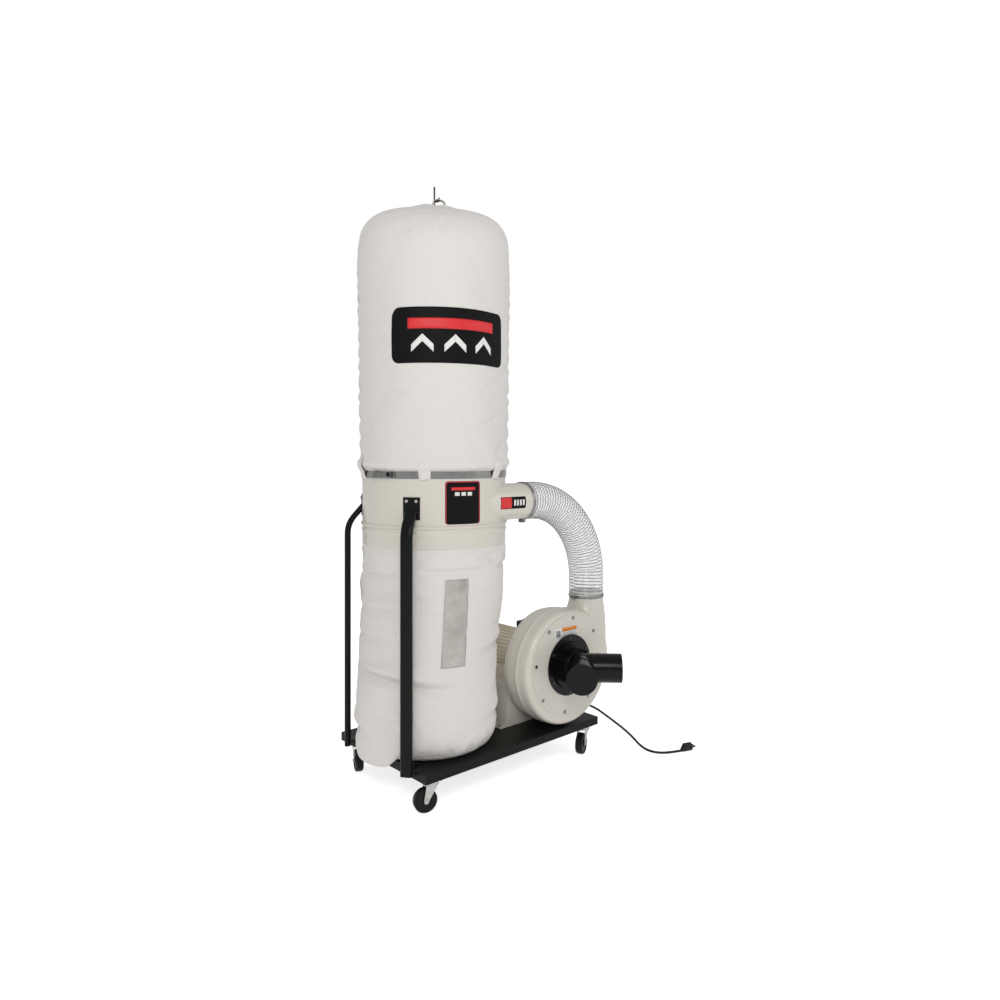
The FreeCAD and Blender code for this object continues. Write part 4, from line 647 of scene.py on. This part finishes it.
# Each fold: its height at its middle, the azimuth there, half its span, its depth, its half
# height, and how far it rises per degree.
bag_folds = [
    (0.385, 208.0, 58.0, 0.026, 0.012, -0.00030),
    (0.362, 236.0, 30.0, 0.014, 0.010, -0.0005),
    (0.598, 190.0, 56.0, 0.012, 0.009, 0.0001), (0.715, 182.0, 50.0, 0.009, 0.009, 0.0),
    (0.655, 200.0, 34.0, 0.006, 0.007, -0.0002),
    (0.508, 178.0, 46.0, 0.010, 0.010, 0.0002), (0.445, 196.0, 30.0, 0.008, 0.008, 0.0004),
    (0.655, 262.0, 26.0, 0.005, 0.008, 0.0001),
    (0.545, 268.0, 24.0, 0.006, 0.008, -0.0002),
    (0.600, 245.0, 18.0, 0.005, 0.007, 0.0003), (0.225, 158.0, 34.0, 0.018, 0.012, 0.0002),
    (0.262, 200.0, 26.0, 0.008, 0.010, -0.0004),
    (0.470, 320.0, 60.0, 0.012, 0.012, 0.0002), (0.330, 40.0, 70.0, 0.015, 0.013, -0.0002),
    (0.610, 60.0, 60.0, 0.011, 0.012, 0.0), (0.240, 310.0, 50.0, 0.010, 0.013, 0.0),
    (0.735, 330.0, 44.0, 0.006, 0.009, 0.0), (0.735, 250.0, 30.0, 0.005, 0.008, 0.0),
]
tray_edge = -0.419
lower_radius = 0.243
lower_seams = (158.0, 338.0)


def lower_bag_place(azimuth, share):
    """The collection bag's surface as it slumps on the tray."""
    radius, height, shift = along(lower_profile, 1.0 - share)
    for level, middle, half, depth, width, rise in bag_folds:
        turn = (azimuth - middle + 180.0) % 360.0 - 180.0
        if abs(turn) < half:
            above = (height - level - rise * turn) / width
            fade = math.cos(math.radians(90.0 * turn / half))
            crease = math.exp(-above * above) - 0.45 * math.exp(-((above - 2.2) / 1.6) ** 2)
            radius -= depth * fade * crease * ease(0.80, 0.76, height)
    lobe = math.exp(-((azimuth - 182.0) / 24.0) ** 2) * ease(0.44, 0.30, height)
    radius += 0.028 * lobe * ease(0.1330, 0.150, height)
    place = around(radius, azimuth, height, shift)
    if place.x < tray_edge and height < 0.30:
        over = ease(tray_edge, -0.450, place.x)
        place.z -= 0.040 * over * ease(0.32, 0.14, height)
    return place


def lower_held(place):
    if place.z > 0.800:
        return 1.0
    return 1.0 if place.z < 0.136 and place.x > -0.418 else 0.0


def lower_gathered(place):
    azimuth = azimuth_of(place, -0.02)
    side = min(abs(azimuth - seam) for seam in lower_seams) * math.pi / 180.0 * lower_radius
    return math.exp(-(side / 0.010) ** 2)


lower_cloth = (math.tau * lower_radius, length_along(lower_profile))
lower_shape = cloth_tube(160, 96, *lower_cloth, lower_bag_place)
foot_rim = [edge for edge in lower_shape.edges
            if edge.is_boundary and edge.verts[0].co.z < 0.2]
bmesh.ops.contextual_create(lower_shape, geom=foot_rim)
lower_bag = link("collection_bag", mesh_of("collection_bag", lower_shape), filter_cloth)
settle(lower_bag, lower_held, lower_gathered, 1.6, 0.02, 0.10, 0.009)
subdivided(lower_bag, 1)
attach(lower_bag, "root")
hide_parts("lower_bag")


def on_bag(bag_tree, azimuth, height, lift, shift=0.0):
    """The outermost point of a bag at an azimuth and height, lifted off its surface."""
    angle = math.radians(azimuth)
    inward = Vector((-math.cos(angle), -math.sin(angle), 0.0))
    place = bag_tree.ray_cast(around(0.5, azimuth, height, shift), inward)[0]
    return place - inward * lift


def laid_shape(outlines, rounding, span):
    """Flat outlines (across, up), their corners rounded, cut into strips that can be laid."""
    shape = bmesh.new()
    for outline in outlines:
        corners = [shape.verts.new((*point, 0.0)) for point in outline]
        shape.faces.new(corners)
    if rounding:
        bmesh.ops.bevel(shape, geom=shape.verts[:], offset=rounding, segments=6, profile=0.5,
                        affect="VERTICES", material=-1)
    for axis in (0, 1):
        low = min(vertex.co[axis] for vertex in shape.verts)
        high = max(vertex.co[axis] for vertex in shape.verts)
        way = Vector((1.0 - axis, float(axis), 0.0))
        for cut in range(1, int((high - low) / span) + 1):
            everything = shape.verts[:] + shape.edges[:] + shape.faces[:]
            bmesh.ops.bisect_plane(shape, geom=everything, plane_no=way,
                                   plane_co=way * (low + cut * span))
    flat_map = shape.loops.layers.uv.new("cloth")
    for face in shape.faces:
        for loop in face.loops:
            loop[flat_map].uv = loop.vert.co.xy
    return shape


def box_outline(low_across, low_up, high_across, high_up):
    return [(low_across, low_up), (high_across, low_up), (high_across, high_up),
            (low_across, high_up)]


def thickened(piece, thickness, offset=1.0):
    """A wall's thickness left live on the piece."""
    wall = piece.modifiers.new("wall", "SOLIDIFY")
    wall.thickness = thickness
    wall.offset = offset


def thin_plate(name, shape, thickness, material):
    """A laid shape made a thin plate or print of its own."""
    plate = link(name, mesh_of(name, shape, outward=False), material)
    thickened(plate, thickness)
    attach(plate, "root")
    return plate


def laid_on_bag(name, bag, shift, outlines, rounding, azimuth, height, lift, material):
    """A thin flat shape laid on a bag round an azimuth and height."""
    shape = laid_shape(outlines, rounding, 0.009)
    bag_tree = BVHTree.FromObject(bag, bpy.context.evaluated_depsgraph_get())
    for vertex in shape.verts:
        turn = azimuth + math.degrees(vertex.co.x / 0.2600)
        vertex.co = on_bag(bag_tree, turn, height + vertex.co.y, lift, shift)
    return thin_plate(name, shape, 0.0005, material)


# The sight window: a strip of clear film sewn into the cloth, seen as grey against the dust.
window_film = coated("window_film", (0.24, 0.23, 0.205), (0.62, 0.60, 0.56), 0.18, 0.34,
                     cloud_scale=17.0, skin_scale=90.0, bump=0.3, coat=0.15)
window_outline = [(-0.052, -0.1385), (0.032, -0.1385), (0.050, 0.1385), (-0.034, 0.1385)]
sight_window = laid_on_bag("sight_window", lower_bag, -0.02, [window_outline], 0.0, 252.5, 0.5785,
                           0.0010, window_film)

# Labels on the filter bag: a black rubber-print patch with a red bar and three plain chevrons.
patch_print = coated("patch_print", (0.0035, 0.0035, 0.004), (0.006, 0.006, 0.006), 0.5, 0.65,
                     cloud_scale=9.0, skin_scale=900.0, bump=0.2, specular=0.12)
red_print = coated("red_print", (0.72, 0.020, 0.024), (0.62, 0.016, 0.020), 0.4, 0.5,
                   cloud_scale=9.0, skin_scale=900.0, bump=0.15)
white_print = coated("white_print", (0.80, 0.79, 0.77), (0.72, 0.71, 0.69), 0.5, 0.6,
                     cloud_scale=9.0, skin_scale=900.0, bump=0.15)
patch_azimuth = 247.0
patch_height = 1.4945
bag_patch = laid_on_bag("bag_patch", upper_bag, 0.0, [box_outline(-0.200, -0.0885, 0.200, 0.0885)],
                        0.026, patch_azimuth, patch_height, 0.0008, patch_print)
patch_bar = laid_on_bag("patch_bar", upper_bag, 0.0, [box_outline(-0.145, 0.0195, 0.145, 0.0535)],
                        0.0, patch_azimuth, patch_height, 0.0014, red_print)
chevrons = []
for middle in (-0.100, 0.0, 0.100):
    for side in (-1.0, 1.0):
        arm = [(middle, -0.020), (middle + side * 0.034, -0.054),
               (middle + side * 0.034, -0.030), (middle, 0.004)]
        chevrons.append(arm if side < 0.0 else arm[::-1])
patch_chevrons = laid_on_bag("patch_chevrons", upper_bag, 0.0, chevrons, 0.0, patch_azimuth,
                             patch_height, 0.0014, white_print)

# ---- Bag seams and hanging loop ---------------------------------------------------------------
# Bound seams sewn over the cut edges of the two panels, and the cloth loop that the rod's hook
# carries the filter bag by.


seam_tape = coated("seam_tape", (0.66, 0.64, 0.60), (0.56, 0.54, 0.50), 0.75, 0.9,
                   cloud_scale=90.0, skin_scale=900.0, bump=0.4)
seam_thickness = 0.0011
upper_tree = BVHTree.FromObject(upper_bag, bpy.context.evaluated_depsgraph_get())
arch_places = []
for step in range(0, 61):
    turn = seam_left + (seam_right - seam_left) * (0.5 - 0.5 * math.cos(math.pi * step / 60.0))
    arch_places.append(on_bag(upper_tree, turn, crown_seam_height(turn), -0.0002))
seams = [line_through("crown_seam", arch_places, seam_thickness, seam_tape)]
for name, azimuth in (("side_seam_left", seam_left), ("side_seam_right", seam_right)):
    side_places = [on_bag(upper_tree, azimuth, 1.10 + 0.0108 * step, -0.0002)
                   for step in range(62)]
    seams.append(line_through(name, side_places, seam_thickness, seam_tape))
lower_tree = BVHTree.FromObject(lower_bag, bpy.context.evaluated_depsgraph_get())
foot_places = [on_bag(lower_tree, 224.0 + 4.0 * step, 0.1480, -0.0008, -0.030)
               for step in range(69)]
seams.append(line_through("foot_seam", foot_places, 0.0026, seam_tape))
back_places = [on_bag(lower_tree, lower_seams[1], 0.16 + 0.0125 * step, -0.0002, -0.02)
               for step in range(51)]
seams.append(line_through("lower_seam", back_places, seam_thickness, seam_tape))


def cloth_strip(columns, rows, width, length):
    """A strip of cloth, drawn as a unit square, with a map in metres."""
    shape = bmesh.new()
    bmesh.ops.create_grid(shape, x_segments=columns, y_segments=rows, size=0.5)
    strip_map = shape.loops.layers.uv.new("cloth")
    for face in shape.faces:
        for loop in face.loops:
            loop[strip_map].uv = (loop.vert.co.x * width, loop.vert.co.y * length)
    return shape


loop_shape = cloth_strip(6, 28, 0.03, 0.12)
for vertex in loop_shape.verts:
    turn = math.tau * vertex.co.y * 0.97
    across = 0.015 + 0.021 * math.sin(turn) + 0.004 * math.sin(2.0 * turn + 3.0 * vertex.co.x)
    deep = vertex.co.x * 0.030
    level = 1.9905 + 0.0195 * math.cos(turn) + 0.0016 * math.cos(7.0 * vertex.co.x)
    vertex.co = Vector((drum_x + 0.743 * across + 0.669 * deep,
                        drum_y - 0.669 * across + 0.743 * deep, level))
hanging_loop = link("hanging_loop", mesh_of("hanging_loop", loop_shape), filter_cloth)
thickened(hanging_loop, 0.0024, 0.0)
subdivided(hanging_loop, 1)
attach(hanging_loop, "root")

# ---- Band loops -------------------------------------------------------------------------------
# Six loops of doubled cloth sewn to the filter bag's hem. They lie over the steel band and keep
# it level while it is closed.

belt_rings = [(0.2660, 1.1010), (0.2716, 1.0950), (0.2728, 1.0850), (0.2712, 1.0760),
              (0.2660, 1.0680), (0.2622, 1.0600), (0.2592, 1.0520), (0.2566, 1.0440),
              (0.2536, 1.0385), (0.2518, 1.0360)]
belt_width = 0.047
last_row = len(belt_rings) - 1
for number, middle in enumerate((226.0, 286.0, 346.0, 46.0, 106.0, 164.0)):
    loop_shape = cloth_strip(8, last_row, 0.045, 0.07)
    for vertex in loop_shape.verts:
        row = min(max(round((vertex.co.y + 0.5) * last_row), 0), last_row)
        radius, height = belt_rings[row]
        across = vertex.co.x * (belt_width - 0.0012 * row)
        edge = (abs(vertex.co.x) * 2.0) ** 3
        pucker = 0.0012 * math.sin(vertex.co.x * 19.0 + number) * (1.0 - row / 9.0)
        vertex.co = around(radius - 0.0035 * edge + pucker, middle + math.degrees(across / 0.26),
                           height + 0.002 * math.sin(number * 2.0 + vertex.co.x * 5.0))
    belt_loop = link(f"band_loop_{number + 1}", mesh_of("band_loop", loop_shape), filter_cloth)
    thickened(belt_loop, 0.0016, 0.0)
    subdivided(belt_loop, 1)
    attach(belt_loop, "root")

# ---- Flexible hose ----------------------------------------------------------------------------
# Clear ribbed plastic hose with a coiled spring-steel wire in its wall. It bends a quarter turn
# from the drum's stub down to the blower's neck.

hose_axis_y = -0.099805
hose_start_x = 0.0469
hose_level = 0.954
hose_bend = 0.300
hose_bend_x = 0.0985
hose_first = hose_bend_x - hose_start_x
hose_arc = hose_bend * math.pi / 2.0
hose_last = 0.086
hose_length = hose_first + hose_arc + hose_last
rib_pitch = 0.0125
rib_height = 0.0022
hose_inner = 0.0641


def on_hose(run, radius, turn):
    """A point of the hose: how far along it, how far from its middle, and where round it."""
    lean = min(max((run - hose_first) / hose_bend, 0.0), math.pi / 2.0)
    outward = Vector((math.sin(lean), 0.0, math.cos(lean)))
    middle = Vector((hose_bend_x + hose_bend * outward.x, hose_axis_y,
                     hose_level - hose_bend + hose_bend * outward.z))
    middle.x -= max(hose_first - run, 0.0)
    middle.z -= max(run - hose_first - hose_arc, 0.0)
    sideways = Vector((0.0, 1.0, 0.0))
    return middle + outward * (radius * math.cos(turn)) + sideways * (radius * math.sin(turn))


hose_plastic, hose_shader = new_finish("hose_plastic", (0.86, 0.87, 0.88), 0.22)
hose_tree = hose_plastic.node_tree
hose_place = add_node(hose_tree, "ShaderNodeTexCoord")
hose_cloud = add_node(hose_tree, "ShaderNodeTexNoise", Scale=18.0, Detail=4.0)
hose_clear = add_node(hose_tree, "ShaderNodeMapRange", To_Min=0.34, To_Max=0.56)
hose_gloss = add_node(hose_tree, "ShaderNodeMapRange", To_Min=0.10, To_Max=0.30)
join(hose_tree, (hose_place, "Object", hose_cloud, "Vector"),
     (hose_cloud, "Fac", hose_clear, "Value"), (hose_cloud, "Fac", hose_gloss, "Value"),
     (hose_clear, "Result", hose_shader, "Alpha"),
     (hose_gloss, "Result", hose_shader, "Roughness"))
hose_shader.inputs["Coat Weight"].default_value = 0.4
spring_wire = coated("spring_wire", (0.42, 0.42, 0.42), (0.30, 0.30, 0.30), 0.3, 0.45,
                     cloud_scale=60.0, metallic=0.85)

hose_shape = rowed_tube(40, 380)
for vertex in hose_shape.verts:
    run = (vertex.co.z + 0.5) * hose_length
    turn = math.atan2(vertex.co.y, vertex.co.x)
    rib = 0.5 + 0.5 * math.cos(math.tau * run / rib_pitch - turn)
    vertex.co = on_hose(run, hose_inner + rib_height * rib, turn)
hose = link("ribbed_hose", mesh_of("ribbed_hose", hose_shape), hose_plastic)
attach(hose, "root")
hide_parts("flex_hose")

wire_turns = int(hose_length / rib_pitch) - 1
wire_steps = wire_turns * 30
wire_radius = 0.0011
wire_ring_radius = 0.0657
wire_shape = bmesh.new()
wire_ring = bmesh.ops.create_circle(wire_shape, segments=6, radius=wire_radius)["verts"]
for vertex in wire_ring:
    vertex.co = Vector((wire_ring_radius + vertex.co.x, 0.0, vertex.co.y + 0.4 * rib_pitch))
bmesh.ops.spin(wire_shape, geom=wire_shape.verts[:] + wire_shape.edges[:], cent=(0.0, 0.0, 0.0),
               axis=(0.0, 0.0, 1.0), dvec=(0.0, 0.0, rib_pitch * wire_turns / wire_steps),
               angle=math.tau * wire_turns, steps=wire_steps)
for vertex in wire_shape.verts:
    vertex.co = on_hose(vertex.co.z, math.hypot(vertex.co.x, vertex.co.y),
                        math.atan2(vertex.co.y, vertex.co.x))
hose_wire = link("hose_wire", mesh_of("hose_wire", wire_shape), spring_wire)
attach(hose_wire, "root")

# ---- Blower housing ---------------------------------------------------------------------------
# Two pressed-steel shells welded into a scroll round the impeller. The scroll widens towards its
# outlet, which is drawn up into a round neck for the hose. Cream enamel all over.

blower_x = 0.224477
blower_z = 0.356
housing_planes = [(-0.1688, -0.0170), (-0.1672, -0.0100), (-0.1630, -0.0045), (-0.1570, -0.0012),
                  (-0.1490, 0.0), (-0.1160, 0.0), (-0.1135, 0.0042), (-0.1075, 0.0042),
                  (-0.1050, -0.0010), (-0.0620, -0.0030), (-0.0460, -0.0060), (-0.0370, -0.0120),
                  (-0.0320, -0.0200), (-0.0308, -0.0280)]


def scroll_radius(turn):
    """How far the scroll's wall is from the shaft, a quarter turn at a time from the tongue."""
    degrees = math.degrees(turn) % 360.0
    if degrees < 90.0:
        return 0.194 + 0.036 * (1.0 - ease(0.0, 90.0, degrees))
    return 0.194 + 0.012 * (degrees - 90.0) / 90.0


def in_mouth(place):
    """Whether a point of the closed housing is over its outlet, its eye or its shaft's hole."""
    reach = math.hypot(place.x - blower_x, place.z - blower_z)
    return (place.z > 0.5955 or (place.y < -0.1660 and reach < 0.150)
            or (place.y > -0.0330 and reach < 0.021))


housing_shape = rowed_tube(120, len(housing_planes) - 1, capped=True)
for vertex in housing_shape.verts:
    plane, grow = housing_planes[round((vertex.co.z + 0.5) * (len(housing_planes) - 1))]
    turn = math.atan2(vertex.co.y, vertex.co.x)
    radius = scroll_radius(turn) + grow
    vertex.co = Vector((blower_x + radius * math.cos(turn), plane,
                        blower_z + radius * math.sin(turn)))
duct_rings = [(0.330, 0.300, 0.4530, 0.0688, 5.0), (0.410, 0.300, 0.4560, 0.0688, 4.6),
              (0.450, 0.302, 0.4585, 0.0686, 4.1), (0.480, 0.310, 0.4600, 0.0682, 3.6),
              (0.505, 0.3205, 0.4610, 0.0674, 3.1), (0.528, 0.3280, 0.4616, 0.0662, 2.7),
              (0.548, 0.3325, 0.4619, 0.0650, 2.35), (0.563, 0.3343, 0.4620, 0.0640, 2.12),
              (0.577, 0.3350, 0.4620, 0.0636, 2.02), (0.598, 0.3350, 0.4620, 0.0635, 2.0)]
duct_shape = rowed_tube(96, len(duct_rings) - 1, capped=True)
for vertex in duct_shape.verts:
    ring = duct_rings[round((vertex.co.z + 0.5) * (len(duct_rings) - 1))]
    height, left, right, half, squareness = ring
    turn = math.atan2(vertex.co.y, vertex.co.x)
    reach = (abs(math.cos(turn)) ** squareness + abs(math.sin(turn)) ** squareness)
    reach = reach ** (-1.0 / squareness)
    vertex.co = Vector(((left + right) / 2.0 + (right - left) / 2.0 * reach * math.cos(turn),
                        hose_axis_y + half * reach * math.sin(turn), height))
duct_mesh = mesh_of("duct", duct_shape)
housing_shape.from_mesh(duct_mesh)
housing_mesh = mesh_of("housing_block", housing_shape)
housing_block = link("housing_block", housing_mesh, cream_enamel)
joined = housing_block.modifiers.new("joined", "REMESH")
joined.mode = "VOXEL"
joined.voxel_size = 0.0038
eased = housing_block.modifiers.new("eased", "SMOOTH")
eased.factor = 0.5
eased.iterations = 14
housing_skin = bpy.data.meshes.new_from_object(
    housing_block.evaluated_get(bpy.context.evaluated_depsgraph_get()))
bpy.data.objects.remove(housing_block)
shell_shape = bmesh.new()
shell_shape.from_mesh(housing_skin)
mouths = [face for face in shell_shape.faces if in_mouth(face.calc_center_median())]
bmesh.ops.delete(shell_shape, geom=mouths, context="FACES")
housing = link("scroll_housing", mesh_of("scroll_housing", shell_shape), cream_enamel)
thickened(housing, 0.0028, -1.0)
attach(housing, "root")
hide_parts("blower_housing")

# ---- Plates and labels ------------------------------------------------------------------------
# Printed plates with plain bars of colour: one on the drum, one on its stub and one over the
# blower's inlet.


def laid_on_round(name, outlines, rounding, place, thickness, material, span=0.008):
    """A thin plate bent to a surface given by a function of across and up."""
    shape = laid_shape(outlines, rounding, span)
    for vertex in shape.verts:
        vertex.co = place(vertex.co.x, vertex.co.y)
    return thin_plate(name, shape, thickness, material)


plate_azimuth = 255.0
plate_height = 0.963


def on_drum(lift):
    return lambda across, up: around(0.24905 + lift, plate_azimuth + math.degrees(across / 0.249),
                                     plate_height + up)


def on_stub(lift):
    def place(across, up):
        turn = up / 0.0635
        return Vector((-0.0415 + across, hose_axis_y - (0.06355 + lift) * math.cos(turn),
                       0.9535 + (0.06355 + lift) * math.sin(turn)))
    return place


def on_cover(lift):
    return lambda across, up: Vector((0.2095 + across, -0.171805 - lift, 0.4765 + up))


border_print = coated("border_print", (0.42, 0.012, 0.045), (0.36, 0.010, 0.038), 0.35, 0.45,
                      cloud_scale=12.0, skin_scale=900.0, bump=0.1)
orange_print = coated("orange_print", (0.80, 0.27, 0.03), (0.72, 0.23, 0.02), 0.35, 0.45,
                      cloud_scale=12.0, skin_scale=900.0, bump=0.1)
grey_print = coated("grey_print", (0.30, 0.31, 0.33), (0.24, 0.25, 0.27), 0.35, 0.45,
                    cloud_scale=12.0, skin_scale=900.0, bump=0.1)
drum_plate = laid_on_round("drum_plate", [box_outline(-0.062, -0.069, 0.062, 0.069)], 0.010,
                           on_drum(0.0), 0.0006, border_print)
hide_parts("drum_label")
laid_on_round("drum_plate_field", [box_outline(-0.0575, -0.0690, 0.0575, 0.0645)], 0.007,
              on_drum(0.0007), 0.0003, patch_print)
laid_on_round("drum_plate_bar", [box_outline(-0.042, 0.0395, 0.042, 0.0495)], 0.0,
              on_drum(0.0011), 0.0002, red_print)
laid_on_round("drum_plate_marks", [box_outline(-0.030, 0.022, -0.014, 0.034),
                                   box_outline(-0.008, 0.022, 0.008, 0.034),
                                   box_outline(0.014, 0.022, 0.030, 0.034)], 0.0,
              on_drum(0.0011), 0.0002, white_print)
laid_on_round("stub_plate", [box_outline(-0.058, -0.0205, 0.058, 0.0205)], 0.003,
              on_stub(0.0), 0.0005, patch_print)
laid_on_round("stub_plate_end", [box_outline(-0.056, -0.0190, -0.008, 0.0190)], 0.0015,
              on_stub(0.0006), 0.0002, red_print)
stub_marks = [box_outline(0.002 + 0.0135 * mark, -0.010, 0.0105 + 0.0135 * mark, 0.010)
              for mark in range(4)]
laid_on_round("stub_plate_marks", stub_marks, 0.0, on_stub(0.0006), 0.0002, white_print)
laid_on_round("cover_plate_label", [box_outline(-0.0575, -0.0195, 0.0575, 0.0195)], 0.003,
              on_cover(0.0), 0.0004, white_print, 0.05)
laid_on_round("cover_label_band", [box_outline(-0.022, 0.0035, 0.0555, 0.0175)], 0.001,
              on_cover(0.0005), 0.0002, orange_print, 0.05)
cover_lines = [box_outline(-0.020, -0.0010 - 0.0055 * line, 0.050 - 0.006 * line,
                           0.0008 - 0.0055 * line) for line in range(3)]
laid_on_round("cover_label_lines", cover_lines + [box_outline(-0.052, -0.012, -0.030, 0.010)],
              0.0, on_cover(0.0005), 0.0002, grey_print, 0.05)
